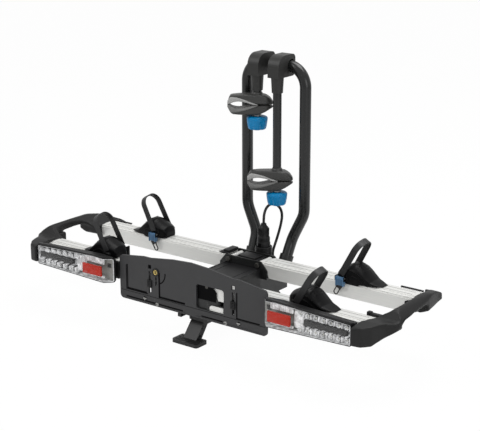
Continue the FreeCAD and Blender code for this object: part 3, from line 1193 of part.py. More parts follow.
def build():
    coupling_parts()
    chassis()
    hinge_bracket("hinge_bracket_front", "front_y")
    hinge_bracket("hinge_bracket_rear", "rear_y")
    hinge_pins()
    chassis_bolts()
    base_cover()
    plate_holder()
    plate_clips()
    lock()
    lamps()
    rail("rail_front", "front_y")
    rail("rail_rear", "rear_y")
    end_frame()
    bow()
    bow_bracket()
    plug_parts()
    cable()
    pedal_parts()
    tray("tray_rear_left", -1, "rear_y", "rl", -1)
    tray("tray_rear_right", 1, "rear_y", "rr", -1)
    tray("tray_front_right", 1, "front_y", "fr", 1)
    tray("tray_front_left", -1, "front_y", "fl", 1)
    arm("left", -1, "claw_high")
    arm("right", 1, "claw_low")


def check_and_write():
    """Stop on any failed object, then write one file for each sub-part."""
    doc.recompute()
    for target in doc.Objects:
        if "Invalid" in target.State or "Error" in target.State:
            raise ValueError("%s failed: %s" % (target.Name, target.State))
    for target in NODES:
        if target.Shape.isNull() or not target.Shape.isValid() or not target.Shape.Solids:
            raise ValueError("the shape of %s is not usable" % target.Label)
    os.makedirs("parts", exist_ok=True)
    for target in NODES:
        target.Shape.exportStep(os.path.join("parts", target.Label + ".step"))
    print(len(NODES), "sub-parts written")


build()
check_and_write()
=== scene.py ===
"""Looks of a tow ball carrier for two bicycles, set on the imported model's frame."""

import logging
import math
from dataclasses import dataclass
from enum import Enum, IntEnum
from typing import Any, Callable, Iterable, Sequence

import bmesh
import bpy
from mathutils import Matrix, Vector

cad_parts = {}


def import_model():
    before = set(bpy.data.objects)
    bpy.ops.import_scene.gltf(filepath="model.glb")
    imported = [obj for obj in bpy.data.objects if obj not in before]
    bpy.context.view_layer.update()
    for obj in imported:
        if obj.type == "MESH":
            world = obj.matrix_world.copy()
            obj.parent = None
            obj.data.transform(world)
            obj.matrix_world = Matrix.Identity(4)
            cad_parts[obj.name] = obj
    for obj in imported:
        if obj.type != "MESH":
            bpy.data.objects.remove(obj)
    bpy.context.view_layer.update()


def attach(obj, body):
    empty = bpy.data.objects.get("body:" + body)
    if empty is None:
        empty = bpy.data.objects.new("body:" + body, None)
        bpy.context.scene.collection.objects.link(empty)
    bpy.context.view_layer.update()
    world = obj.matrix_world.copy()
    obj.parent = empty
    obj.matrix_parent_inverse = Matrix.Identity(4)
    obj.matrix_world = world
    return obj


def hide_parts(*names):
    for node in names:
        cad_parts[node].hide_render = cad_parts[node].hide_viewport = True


LOG = logging.getLogger("carrier")
MM = 0.001
Point = tuple[float, float, float]
Pair = tuple[float, float]
Colour = tuple[float, float, float, float]

# Corners of a form that lie nearer to each other than this, in millimetres, become one
MERGE = 1e-4
# Edges that are sharper than this, in radians, are rounded: on new forms, and on copies of CAD nodes
FORM_EDGE = 0.45
NODE_EDGE = math.radians(28)
# A direction that no wire of this object runs along
ASIDE = Vector((0.31, 0.27, 0.91))
# Middles of the two rails of a wing, and their top
FRONT_RAIL = -303.5
REAR_RAIL = -69.5
RAIL_TOP = 164.0


def shade(red: float, green: float, blue: float) -> Colour:
    """Turn a colour as seen on a screen, 0 to 255, into the shader's own values.

    Args:
        red: red part.
        green: green part.
        blue: blue part.

    Returns:
        The colour with an alpha of 1.
    """
    parts = []
    for value in (red, green, blue):
        share = value / 255
        parts.append(share / 12.92 if share <= 0.04045 else ((share + 0.055) / 1.055) ** 2.4)
    return (parts[0], parts[1], parts[2], 1.0)


class Side(Enum):
    """The two sides of the carrier, as the person sees them who reads the number plate."""

    LEFT = -1
    RIGHT = 1

    @property
    def word(self) -> str:
        """The side's word in the names of nodes and bodies."""
        return self.name.lower()


class OpticPaint(IntEnum):
    """The materials of a lamp's optic, by their numbers."""

    BRIGHT = 0
    FLUTED = 1
    BAR = 2
    LIGHT = 3
    CHAMBER = 4
    # a darker copy of the optic: painted shade
    FACET = 5


# Shader maths


class Value:
    """A socket in a material's nodes. Arithmetic on it adds Math nodes."""

    def __init__(self, tree: bpy.types.NodeTree, socket: bpy.types.NodeSocket) -> None:
        """Wrap a socket of a tree."""
        self.tree = tree
        self.socket = socket

    def math(self, operation: str, *inputs: "Value | float") -> "Value":
        """Add a Math node.

        Args:
            operation: the node's operation.
            inputs: its values or links, in order.

        Returns:
            The node's result.
        """
        node = self.tree.nodes.new("ShaderNodeMath")
        node.operation = operation
        for slot, given in zip(node.inputs, inputs):
            plugged(slot, given)
        return Value(self.tree, node.outputs[0])

    def __add__(self, other: "Value | float") -> "Value":
        """Sum."""
        return self.math("ADD", self, other)

    __radd__ = __add__

    def __mul__(self, other: "Value | float") -> "Value":
        """Product."""
        return self.math("MULTIPLY", self, other)

    __rmul__ = __mul__

    def __sub__(self, other: "Value | float") -> "Value":
        """Difference."""
        return self.math("SUBTRACT", self, other)

    def __rsub__(self, other: "Value | float") -> "Value":
        """Difference from a number."""
        return self.math("SUBTRACT", other, self)

    def __truediv__(self, other: "Value | float") -> "Value":
        """Quotient."""
        return self.math("DIVIDE", self, other)

    def __rtruediv__(self, other: "Value | float") -> "Value":
        """Quotient of a number by the value."""
        return self.math("DIVIDE", other, self)

    def wave(self, pitch: float) -> "Value":
        """Run from 0 to 1 and back over each pitch."""
        return self.math("PINGPONG", self / (pitch / 2), 1.0)

    def clamp(self) -> "Value":
        """Keep the value between 0 and 1."""
        return self.math("MINIMUM", self.math("MAXIMUM", self, 0.0), 1.0)


def plugged(slot: bpy.types.NodeSocket, given: Any) -> None:
    """Link an input to a value's socket, or set it to a plain number or colour."""
    if isinstance(given, Value):
        given.tree.links.new(given.socket, slot)
    else:
        slot.default_value = given


class Nodes:
    """The nodes of one finish."""

    def __init__(self, name: str) -> None:
        """Start a material with its Principled shader."""
        self.material = bpy.data.materials.new(name)
        self.material.use_nodes = True
        self.tree = self.material.node_tree
        self.shader = self.tree.nodes["Principled BSDF"]
        self.place = self.node("ShaderNodeTexCoord", output="Object")

    def node(self, kind: str, settings: dict[str, Any] | None = None,
             inputs: dict[str | int, Any] | None = None, output: str | int = 0) -> Value:
        """Add one node.

        Args:
            kind: the node's type.
            settings: properties, set first.
            inputs: values or links for its sockets, by name or number.
            output: the socket that is wanted.

        Returns:
            The wanted output.
        """
        node = self.tree.nodes.new(kind)
        for key, given in (settings or {}).items():
            setattr(node, key, given)
        for key, given in (inputs or {}).items():
            plugged(node.inputs[key], given)
        return Value(self.tree, node.outputs[output])

    def axis(self, name: str) -> Value:
        """One Object coordinate in metres, by its letter."""
        return self.node("ShaderNodeSeparateXYZ", inputs={0: self.place}, output=name)

    def stretched(self, x: float, y: float, z: float) -> Value:
        """Object coordinates, scaled along each axis."""
        return self.node("ShaderNodeVectorMath", {"operation": "MULTIPLY"}, {0: self.place, 1: (x, y, z)})

    def noise(self, size: float, detail: float = 3.0, place: Value | None = None) -> Value:
        """Noise whose features are about size millimetres across."""
        return self.node("ShaderNodeTexNoise", inputs={
            "Vector": place or self.place, "Scale": 1 / (size * MM), "Detail": detail, "Roughness": 0.55})

    def cells(self, size: float, output: str | int = 0) -> Value:
        """Voronoi cells about size millimetres across."""
        return self.node("ShaderNodeTexVoronoi", inputs={
            "Vector": self.place, "Scale": 1 / (size * MM)}, output=output)

    def mix(self, factor: "Value | float", first: "Value | Colour", second: "Value | Colour") -> Value:
        """Blend two colours."""
        return self.node("ShaderNodeMix", {"data_type": "RGBA"}, {0: factor, 6: first, 7: second}, 2)

    def bump(self, height: Value, deep: float) -> Value:
        """Relief from a height of 0 to 1 that stands for deep millimetres."""
        return self.node("ShaderNodeBump", inputs={"Height": height, "Distance": deep * MM})

    def feed(self, **sockets: "Value | float | Colour") -> None:
        """Set or link the shader's sockets; an underscore in a name stands for a space."""
        for key, given in sockets.items():
            plugged(self.shader.inputs[key.replace("_", " ")], given)


# Finishes


@dataclass(frozen=True)
class Finish:
    """A surface finish; each kind writes its own nodes."""

    name: str
    colour: Colour

    def write(self, nodes: Nodes) -> None:
        """Fill the material's nodes."""
        raise NotImplementedError

    def material(self) -> bpy.types.Material:
        """The finish's material, made once."""
        made = bpy.data.materials.get(self.name)
        if made is None:
            nodes = Nodes(self.name)
            self.write(nodes)
            made = nodes.material
        return made

    def toned(self, share: float) -> Colour:
        """The colour, lighter or darker by a factor."""
        return (self.colour[0] * share, self.colour[1] * share, self.colour[2] * share, 1.0)


@dataclass(frozen=True)
class MouldedPlastic(Finish):
    """Satin moulded plastic with a spark-eroded grain and faint flow marks."""

    rough: float = 0.45
    grain: float = 0.9
    relief: float = 0.05
    gloss: float = 0.32

    def write(self, nodes: Nodes) -> None:
        """Grain as relief, and slow changes of tone and gloss."""
        flow = nodes.noise(55, 4)
        fine = nodes.noise(self.grain, 2)
        pits = nodes.cells(self.grain * 1.6)
        tone = nodes.mix(flow, self.toned(0.8), self.toned(1.1))
        nodes.feed(Base_Color=nodes.mix(fine * 0.3, tone, self.toned(1.3)),
                   Roughness=(self.rough - 0.07 + flow * 0.10 + fine * 0.06).clamp(),
                   Specular_IOR_Level=self.gloss,
                   Normal=nodes.bump(fine * 0.6 + pits * 0.5, self.relief))


@dataclass(frozen=True)
class PowderCoat(Finish):
    """Powder-coated steel or aluminium: orange peel, half gloss, a little dust."""

    rough: float = 0.34
    peel: float = 2.2

    def write(self, nodes: Nodes) -> None:
        """Orange peel as relief under a thin gloss."""
        peel = nodes.noise(self.peel, 2)
        dust = nodes.noise(70, 5)
        nodes.feed(Base_Color=nodes.mix(dust, self.toned(0.8), self.toned(1.2)),
                   Roughness=(self.rough - 0.05 + dust * 0.1 + peel * 0.06).clamp(),
                   Coat_Weight=0.15, Coat_Roughness=0.16, Specular_IOR_Level=0.32,
                   Normal=nodes.bump(peel, 0.06))


@dataclass(frozen=True)
class AnodisedRail(Finish):
    """Extruded aluminium, satin anodised, with fine lines along its length."""

    def write(self, nodes: Nodes) -> None:
        """Die lines along X as tone and relief."""
        lines = nodes.noise(0.9, 3, nodes.stretched(0.01, 1, 1))
        haze = nodes.noise(40, 3, nodes.stretched(0.2, 1, 1))
        nodes.feed(Base_Color=nodes.mix(lines, self.toned(0.86), self.toned(1.08)),
                   Metallic=0.35, Roughness=(0.34 + haze * 0.12 + lines * 0.06).clamp(),
                   Normal=nodes.bump(lines, 0.05))


@dataclass(frozen=True)
class PlatedSteel(Finish):
    """Zinc-plated or brass-plated metal with a faint spangle."""

    rough: float = 0.32
    spangle: float = 2.4

    def write(self, nodes: Nodes) -> None:
        """Spangle as tone, scuffs as roughness."""
        spangle = nodes.node("ShaderNodeSeparateColor", inputs={
            0: nodes.cells(self.spangle, output="Color")}, output=0)
        scuffs = nodes.noise(6, 5)
        nodes.feed(Base_Color=nodes.mix(spangle, self.toned(0.8), self.toned(1.1)),
                   Metallic=0.9, Roughness=(self.rough - 0.08 + scuffs * 0.25).clamp(),
                   Normal=nodes.bump(scuffs, 0.02))


@dataclass(frozen=True)
class ClearCover(Finish):
    """Clear injection-moulded cover: nearly invisible, glossy at a glancing angle."""

    cover: float = 0.008

    def write(self, nodes: Nodes) -> None:
        """A little haze in it, and more of it seen edge on."""
        haze = nodes.noise(18, 3)
        edge = nodes.node("ShaderNodeLayerWeight", inputs={"Blend": 0.35}, output="Facing")
        nodes.feed(Base_Color=nodes.mix(haze, self.toned(0.95), self.toned(1.05)),
                   Alpha=(self.cover + haze * 0.02 + edge * 0.1).clamp(),
                   Roughness=(0.05 + haze * 0.05).clamp(), Coat_Weight=0.4, Coat_Roughness=0.03,
                   Normal=nodes.bump(haze, 0.05))


@dataclass(frozen=True)
class PrismReflector(Finish):
    """Retroreflector: small prisms in a grid behind a smooth red face."""

    pitch: float = 3.4

    def write(self, nodes: Nodes) -> None:
        """Rows of prisms along X and Z as tone and relief."""
        across = nodes.axis("X").wave(self.pitch * MM)
        along = nodes.axis("Z").wave(self.pitch * MM)
        prism = (across + along) * 0.5
        glow = nodes.noise(12, 2)
        tone = (prism * 0.7 + glow * 0.3).clamp()
        nodes.feed(Base_Color=nodes.mix(tone, self.toned(0.55), self.toned(1.5)),
                   Roughness=(0.2 + prism * 0.12).clamp(), Coat_Weight=0.15, Specular_IOR_Level=0.2,
                   Normal=nodes.bump(prism, 0.5))


@dataclass(frozen=True)
class MetallisedOptic(Finish):
    """Vacuum-metallised lamp optic with fine pillow facets, and painted glints that glow as emission."""

    pillow: float = 5.0

    def write(self, nodes: Nodes) -> None:
        """Pillows as relief, with darker joints, and painted glints as a faint emission that is strong in
        noise patches.
        """
        pillow = nodes.axis("X").wave(self.pillow * MM) * nodes.axis("Z").wave(self.pillow * MM)
        mist = nodes.noise(9, 3)
        painted_glint = ((nodes.noise(11, 2) - 0.4) * 4.0).clamp()
        tone = (pillow * 0.8 + mist * 0.4).clamp()
        nodes.feed(Base_Color=nodes.mix(tone, self.toned(0.45), self.toned(1.15)),
                   Metallic=0.25, Roughness=(0.14 + mist * 0.14).clamp(),
                   # painted glint: the emission makes the optic glow like sparkling reflections, though the
                   # lamp is not lit
                   Emission_Color=nodes.mix(painted_glint, self.toned(0.04), self.toned(1.0)), Emission_Strength=0.4,
                   Normal=nodes.bump(pillow, 0.6))


@dataclass(frozen=True)
class SoftRubber(Finish):
    """Rubber or soft plastic with a matt, slightly dusty skin."""

    rough: float = 0.62
    grain: float = 1.4

    def write(self, nodes: Nodes) -> None:
        """Fine grain and a slow bloom."""
        bloom = nodes.noise(30, 4)
        grain = nodes.noise(self.grain, 3)
        tone = (bloom * 0.7 + grain * 0.3).clamp()
        nodes.feed(Base_Color=nodes.mix(tone, self.toned(0.75), self.toned(1.35)),
                   Roughness=(self.rough - 0.08 + bloom * 0.14).clamp(),
                   Sheen_Weight=0.04, Sheen_Roughness=0.6, Specular_IOR_Level=0.35,
                   Normal=nodes.bump(grain, 0.08))


BLACK = MouldedPlastic("moulded_black", shade(19, 19, 20), rough=0.42, gloss=0.25)
FRAME_BLACK = MouldedPlastic("end_frame_black", shade(26, 26, 26), rough=0.5, grain=1.4, gloss=0.22)
PANEL = MouldedPlastic("panel_charcoal", shade(50, 50, 51), rough=0.5, grain=0.8)
# Near black: painted shade in the grooves, slots and openings and on the bracket faces seen through the
# window; also a block on the plug's front.
BLACK_AND_SHADE = MouldedPlastic("recess_black", shade(5, 5, 6), rough=0.7, gloss=0.06)
TRAY = MouldedPlastic("tray_black", shade(11, 11, 12), rough=0.3, grain=1.1, gloss=0.1)
CAP = MouldedPlastic("cap_charcoal", shade(38, 38, 37), rough=0.4, grain=1.0)
CLAW = MouldedPlastic("claw_charcoal", shade(56, 56, 55), rough=0.36, grain=1.2)
BLUE = MouldedPlastic("knob_blue", shade(0, 118, 172), rough=0.36, grain=0.8, gloss=0.25)
BLUE_DARK = MouldedPlastic("buckle_blue", shade(76, 110, 142), rough=0.34, grain=0.7, gloss=0.3)
LIP = SoftRubber("claw_pad_light", shade(152, 152, 151), rough=0.5)
# A darker copy of the pad rubber for the lower jaw: painted shade.
LIP_SHADED = SoftRubber("claw_pad_dark", shade(108, 108, 107), rough=0.5)
STRAP = SoftRubber("strap_black", shade(24, 24, 25), rough=0.45)
CORD = SoftRubber("cord_sheath", shade(22, 22, 23), rough=0.45, grain=0.9)
TUBE = PowderCoat("tube_black", shade(26, 27, 27), rough=0.2)
CHASSIS = PowderCoat("chassis_black", shade(20, 21, 21), rough=0.4)
RAIL = AnodisedRail("anodised_rail", shade(222, 222, 219))
# A darker copy of the rail's finish: painted shade in the rails' top grooves.
RAIL_GROOVE_SHADE = AnodisedRail("anodised_groove", shade(120, 120, 118))
ZINC = PlatedSteel("zinc_plate", shade(150, 150, 148))
DARK_ZINC = PlatedSteel("dark_zinc", shade(78, 77, 74), rough=0.4)
BRASS = PlatedSteel("brass_plate", shade(176, 156, 96), rough=0.26)
CLEAR = ClearCover("clear_cover", shade(52, 55, 58))
RED = PrismReflector("red_reflector", shade(172, 34, 14))
# Both metallised optics glow with painted glints, through their emission.
OPTIC = MetallisedOptic("metallised_optic", shade(226, 227, 228))
FLUTED = MetallisedOptic("fluted_optic", shade(232, 232, 233), pillow=3.0)
LED = MouldedPlastic("led_face", shade(236, 232, 214), rough=0.2, grain=0.5, gloss=0.8)
CHAMBER = MouldedPlastic("lamp_chamber", shade(132, 132, 128), rough=0.3, grain=3.0, gloss=0.5)
# A dark copy of the metallised optic: painted shade for the facets that face away from the light.
FACET = MouldedPlastic("optic_facet", shade(70, 70, 70), rough=0.2, grain=2.0, gloss=0.8)
BAR = MouldedPlastic("lamp_bar_black", shade(60, 60, 60), rough=0.3, grain=0.6)
PEDAL = PowderCoat("pedal_black", shade(12, 12, 13), rough=0.45)
TREAD = PowderCoat("tread_black", shade(34, 34, 35), rough=0.4)


# Meshes


def eased(bm: bmesh.types.BMesh, width: float, segments: int, limit: float) -> None:
    """Round the edges of a mesh that are sharper than a limit in radians."""
    edges = [edge for edge in bm.edges if len(edge.link_faces) == 2 and edge.calc_face_angle() > limit]
    bmesh.ops.bevel(bm, geom=edges, offset=width, offset_type="OFFSET", segments=segments,
                    profile=0.5, affect="EDGES", clamp_overlap=True, material=-1)


def heading(path: Sequence[Vector], index: int, closed: bool = False) -> Vector:
    """Direction of a path at one of its points, from the point before it to the one after."""
    if closed:
        return (path[(index + 1) % len(path)] - path[index - 1]).normalized()
    return (path[min(index + 1, len(path) - 1)] - path[max(index - 1, 0)]).normalized()


class Shape:
    """A mesh in the making, in millimetres; each call adds one closed form."""

    def __init__(self) -> None:
        """Start empty."""
        self.bm = bmesh.new()
        self.paint = 0

    def painted(self, index: int) -> "Shape":
        """Give the forms that follow the material of that number."""
        self.paint = index
        return self

    def take(self, part: bmesh.types.BMesh, bevel: float = 0.0, segments: int = 2,
             matrix: Matrix | None = None) -> "Shape":
        """Clean a form, round its edges and add it.

        Args:
            part: the form, freed afterwards.
            bevel: width of the rounding of its sharp edges, or 0.
            segments: steps of the rounding.
            matrix: where the form goes.

        Returns:
            This shape.
        """
        bmesh.ops.remove_doubles(part, verts=part.verts, dist=MERGE)
        bmesh.ops.recalc_face_normals(part, faces=part.faces)
        if bevel:
            eased(part, bevel, segments, FORM_EDGE)
        if matrix is not None:
            bmesh.ops.transform(part, matrix=matrix, verts=part.verts)
        for face in part.faces:
            face.material_index = self.paint
        mesh = bpy.data.meshes.new("form")
        part.to_mesh(mesh)
        part.free()
        self.bm.from_mesh(mesh)
        bpy.data.meshes.remove(mesh)
        return self

    def block(self, low: Point, high: Point, bevel: float = 0.0, segments: int = 2,
              matrix: Matrix | None = None) -> "Shape":
        """Add a block between two corners."""
        start, end = Vector(low), Vector(high)
        part = bmesh.new()
        bmesh.ops.create_cube(part, size=1.0)
        bmesh.ops.scale(part, vec=end - start, verts=part.verts)
        bmesh.ops.translate(part, vec=(start + end) / 2, verts=part.verts)
        return self.take(part, bevel, segments, matrix)

    def turned(self, profile: Sequence[Pair], start: Point, towards: Point = (0, 0, 1), steps: int = 32,
               matrix: Matrix | None = None) -> "Shape":
        """Spin an outline about an axis.

        Args:
            profile: (radius, distance along the axis) pairs, from one end to the other.
            start: the point where the distance is 0.
            towards: the axis.
            steps: faces round the axis.
            matrix: a further move.

        Returns:
            This shape.
        """
        part = bmesh.new()
        verts = [part.verts.new((radius, 0, along)) for radius, along in profile]
        edges = [part.edges.new(ends) for ends in zip(verts, verts[1:])]
        bmesh.ops.spin(part, geom=verts + edges, cent=(0, 0, 0), axis=(0, 0, 1), dvec=(0, 0, 0),
                       angle=math.tau, steps=steps, use_merge=True, use_duplicate=False)
        turn = Vector((0, 0, 1)).rotation_difference(Vector(towards)).to_matrix().to_4x4()
        bmesh.ops.transform(part, matrix=Matrix.Translation(Vector(start)) @ turn, verts=part.verts)
        return self.take(part, matrix=matrix)

    def drum(self, start: Point, end: Point, radius: float, bevel: float = 0.0, steps: int = 24,
             matrix: Matrix | None = None) -> "Shape":
        """Add a round bar between two points, with chamfered rims."""
        axis = Vector(end) - Vector(start)
        long = axis.length
        profile = [(0.0, 0.0), (radius - bevel, 0.0), (radius, bevel), (radius, long - bevel),
                   (radius - bevel, long), (0.0, long)]
        return self.turned(profile, start, tuple(axis), steps, matrix)

    def plate(self, corners: Sequence[Pair], start: float, end: float, bevel: float = 0.0,
              segments: int = 2, cut: tuple[Point, Point] | None = None) -> "Shape":
        """Extrude an outline along Y.

        Args:
            corners: (x, z) corners, in order.
            start: first y.
            end: last y.
            bevel: rounding of the edges.
            segments: steps of the rounding.
            cut: a point and a direction; what lies beyond that plane is taken away.

        Returns:
            This shape.
        """
        part = bmesh.new()
        face = part.faces.new([part.verts.new((x, start, z)) for x, z in corners])
        grown = bmesh.ops.extrude_face_region(part, geom=[face])
        moved = [item for item in grown["geom"] if isinstance(item, bmesh.types.BMVert)]
        bmesh.ops.translate(part, vec=(0, end - start, 0), verts=moved)
        if cut:
            rim = bisected(part, Vector(cut[0]), Vector(cut[1]), True)
            bmesh.ops.holes_fill(part, edges=rim, sides=0)
        return self.take(part, bevel, segments)

    def loft(self, sections: Sequence[Sequence[Vector]], closed: bool = False,
             matrix: Matrix | None = None) -> "Shape":
        """Bridge closed sections of equal count, one after the other.

        Args:
            sections: the corners of each section, in order.
            closed: bridge the last section to the first; else both ends get a cap.
            matrix: a further move.

        Returns:
            This shape.
        """
        part = bmesh.new()
        rings = []
        for section in [*sections, sections[0]] if closed else sections:
            verts = bmesh.ops.create_circle(part, cap_ends=False, segments=len(section), radius=1.0)["verts"]
            edges = list({edge for vert in verts for edge in vert.link_edges})
            for vert, spot in zip(verts, section):
                vert.co = spot
            rings.append(edges)
        for here, there in zip(rings, rings[1:]):
            bmesh.ops.bridge_loops(part, edges=here + there)
        if not closed:
            bmesh.ops.holes_fill(part, edges=rings[0] + rings[-1], sides=0)
        return self.take(part, matrix=matrix)

    def sweep(self, path: Sequence[Vector], across: Vector, wide: float, thick: float,
              rib: Callable[[int], float] | None = None, matrix: Matrix | None = None) -> "Shape":
        """Carry a flat ribbon section along a path.

        Args:
            path: points of the ribbon's middle.
            across: direction of the ribbon's width.
            wide: its width.
            thick: its thickness.
            rib: extra height of the outer face at each point.
            matrix: a further move.

        Returns:
            This shape.
        """
        side, half, edge = wide / 2, thick / 2, min(thick, wide) * 0.25
        sections = []
        for index, spot in enumerate(path):
            out = across.cross(heading(path, index)).normalized()
            crest = half + (rib(index) if rib else 0.0)
            ring = [(side, -half + edge), (side, half - edge), (side - edge, half),
                    (side - 2.5 * edge, crest), (-side + 2.5 * edge, crest),
                    (-side + edge, half), (-side, half - edge), (-side, -half + edge),
                    (-side + edge, -half), (side - edge, -half)]
            sections.append([spot + across * a + out * b for a, b in ring])
        return self.loft(sections, matrix=matrix)

    def wire(self, path: Sequence[Vector], radius: float, closed: bool = False, steps: int = 8,
             matrix: Matrix | None = None) -> "Shape":
        """Carry a round section along a path in one plane or nearly so."""
        sections = []
        for index, spot in enumerate(path):
            ahead = heading(path, index, closed)
            side = ahead.cross(ASIDE).normalized()
            other = ahead.cross(side)
            angles = (math.tau * step / steps for step in range(steps))
            sections.append([spot + (side * math.cos(a) + other * math.sin(a)) * radius for a in angles])
        return self.loft(sections, closed, matrix)

    def mirror(self) -> "Shape":
        """Turn the whole shape over to the other side of the carrier."""
        bmesh.ops.scale(self.bm, vec=(-1, 1, 1), verts=self.bm.verts)
        bmesh.ops.reverse_faces(self.bm, faces=self.bm.faces)
        return self


def dress(made: bpy.types.Object, finishes: Sequence[Finish], body: str,
          nodes: Iterable[str] = ()) -> bpy.types.Object:
    """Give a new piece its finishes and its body.

    Args:
        made: the piece.
        finishes: its materials, in the order of its faces' numbers.
        body: the body that it rides on.
        nodes: the CAD nodes that it stands for.

    Returns:
        The piece.
    """
    if made.name not in bpy.context.scene.collection.objects:
        bpy.context.scene.collection.objects.link(made)
    for finish in finishes:
        made.data.materials.append(finish.material())
    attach(made, body)
    names = tuple(nodes)
    if names:
        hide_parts(*names)
    LOG.info("%s rides on %s, %d faces", made.name, body, len(getattr(made.data, "polygons", ())))
    return made


def finish_shape(shape: Shape, name: str, finishes: Sequence[Finish], body: str,
                 nodes: Iterable[str] = (), sharp: float = 32.0) -> bpy.types.Object:
    """Make a piece from a shape in millimetres.

    Args:
        shape: the shape, used up.
        name: the piece's name.
        finishes: its materials.
        body: the body that it rides on.
        nodes: the CAD nodes that it stands for.
        sharp: edges sharper than this many degrees stay sharp.

    Returns:
        The piece.
    """
    bmesh.ops.scale(shape.bm, vec=(MM, MM, MM), verts=shape.bm.verts)
    mesh = bpy.data.meshes.new(name)
    shape.bm.to_mesh(mesh)
    shape.bm.free()
    mesh.shade_smooth()
    mesh.set_sharp_from_angle(angle=math.radians(sharp))
    return dress(bpy.data.objects.new(name, mesh), finishes, body, nodes)


def wing_piece(shape: Shape, side: Side, name: str, finishes: Sequence[Finish],
               nodes: Iterable[str] = ()) -> None:
    """Make a shape a piece of one wing, turned over where that is the left one.

    Args:
        shape: the shape as it is on the right, used up.
        side: the wing's side.
        name: the piece's name without its side.
        finishes: its materials.
        nodes: the CAD nodes that it stands for, without their side.
    """
    if side is Side.LEFT:
        shape.mirror()
    names = [node + "_" + side.word for node in nodes]
    finish_shape(shape, name + "_" + side.word, finishes, "wing_" + side.word, names)


def merged_copy(node: str) -> bmesh.types.BMesh:
    """A CAD node's mesh as one closed surface with flat faces joined."""
    mesh = bpy.data.objects[node].data
    bm = bmesh.new()
    bm.from_mesh(mesh)
    bmesh.ops.remove_doubles(bm, verts=bm.verts, dist=2e-6)
    bmesh.ops.dissolve_limit(bm, angle_limit=math.radians(0.6), use_dissolve_boundaries=False,
                             verts=bm.verts, edges=bm.edges, delimit=set())
    return bm


def edged(node: str, width: float, finishes: Sequence[Finish], body: str, segments: int = 2,
          paint: Callable[[bmesh.types.BMFace], int] | None = None,
          carve: Callable[[bmesh.types.BMesh], None] | None = None) -> bpy.types.Object:
    """Stand in for a node with the same form, its edges rounded.

    Args:
        node: the CAD node.
        width: rounding in millimetres.
        finishes: materials.
        body: its body.
        segments: steps of the rounding.
        paint: material number of a face, asked before the rounding.
        carve: changes the copy first.

    Returns:
        The piece.
    """
    bm = merged_copy(node)
    if carve:
        carve(bm)
    if paint:
        for face in bm.faces:
            face.material_index = paint(face)
    eased(bm, width * MM, segments, NODE_EDGE)
    made_name = node + "_dressed"
    mesh = bpy.data.meshes.new(made_name)
    bm.to_mesh(mesh)
    bm.free()
    mesh.shade_smooth()
    mesh.set_sharp_from_angle(angle=math.radians(40))
    made = bpy.data.objects.new(made_name, mesh)
    flat = made.modifiers.new("flat_faces", "WEIGHTED_NORMAL")
    flat.keep_sharp = True
    flat.weight = 90
    return dress(made, finishes, body, [node])


def bisected(bm: bmesh.types.BMesh, point: Vector, normal: Vector,
             clear: bool = False) -> list[bmesh.types.BMEdge]:
    """Cut a mesh by a plane.

    Args:
        bm: the mesh.
        point: a point of the plane.
        normal: the plane's normal.
        clear: take away what the normal points at.

    Returns:
        The edges of the cut.
    """
    cut = bmesh.ops.bisect_plane(bm, geom=bm.verts[:] + bm.edges[:] + bm.faces[:], dist=1e-6,
                                 plane_co=point, plane_no=normal, clear_outer=clear)
    return [item for item in cut["geom_cut"] if isinstance(item, bmesh.types.BMEdge)]


def sliced(bm: bmesh.types.BMesh, axis: int, spots: Iterable[float]) -> None:
    """Cut a mesh by planes across an axis, in millimetres, taking nothing away."""
    normal = Vector((0, 0, 0))
    normal[axis] = 1
    for spot in spots:
        bisected(bm, normal * spot * MM, normal)


def moulded(node: str, voxel: float, rounds: int, finishes: Sequence[Finish], body: str,
            carve: Callable[[bmesh.types.BMesh], None] | None = None,
            settle: Callable[[bmesh.types.BMesh], None] | None = None) -> bpy.types.Object:
    """Stand in for a node with the same form, softened all over as a moulding is.

    Args:
        node: the CAD node.
        voxel: size of the new faces in millimetres.
        rounds: how often the surface is evened out.
        finishes: materials.
        body: its body.
        carve: changes the copy before it is softened.
        settle: moves the softened skin.

    Returns:
        The piece.
    """
    made_name = node + "_dressed"
    bm = merged_copy(node)
    if carve:
        carve(bm)
    mesh = bpy.data.meshes.new(made_name)
    bm.to_mesh(mesh)
    bm.free()
    made = bpy.data.objects.new(made_name, mesh)
    bpy.context.scene.collection.objects.link(made)
    remesh = made.modifiers.new("skin", "REMESH")
    remesh.mode = "VOXEL"
    remesh.voxel_size = voxel * MM
    even = made.modifiers.new("even", "SMOOTH")
    even.factor = 0.5
    even.iterations = rounds
    graph = bpy.context.evaluated_depsgraph_get()
    solid = bpy.data.meshes.new_from_object(made.evaluated_get(graph))
    made.modifiers.clear()
    if settle:
        bm = bmesh.new()
        bm.from_mesh(solid)
        settle(bm)
        bm.to_mesh(solid)
        bm.free()
    made.data = solid
    solid.name = made_name
    solid.shade_smooth()
    return dress(made, finishes, body, [node])


def repaint(node: str, finish: Finish) -> None:
    """Give a CAD node that stays a finish of its own."""
    for slot in bpy.data.objects[node].material_slots:
        slot.material = finish.material()
    LOG.info("%s keeps its form, finish %s", node, finish.name)


def arc(centre: Pair, radius: float, start: float, end: float, steps: int) -> list[Pair]:
    """Points of an arc in a plane, angles in degrees."""
    return [(centre[0] + radius * math.cos(math.radians(start + (end - start) * k / steps)),
             centre[1] + radius * math.sin(math.radians(start + (end - start) * k / steps)))
            for k in range(steps + 1)]


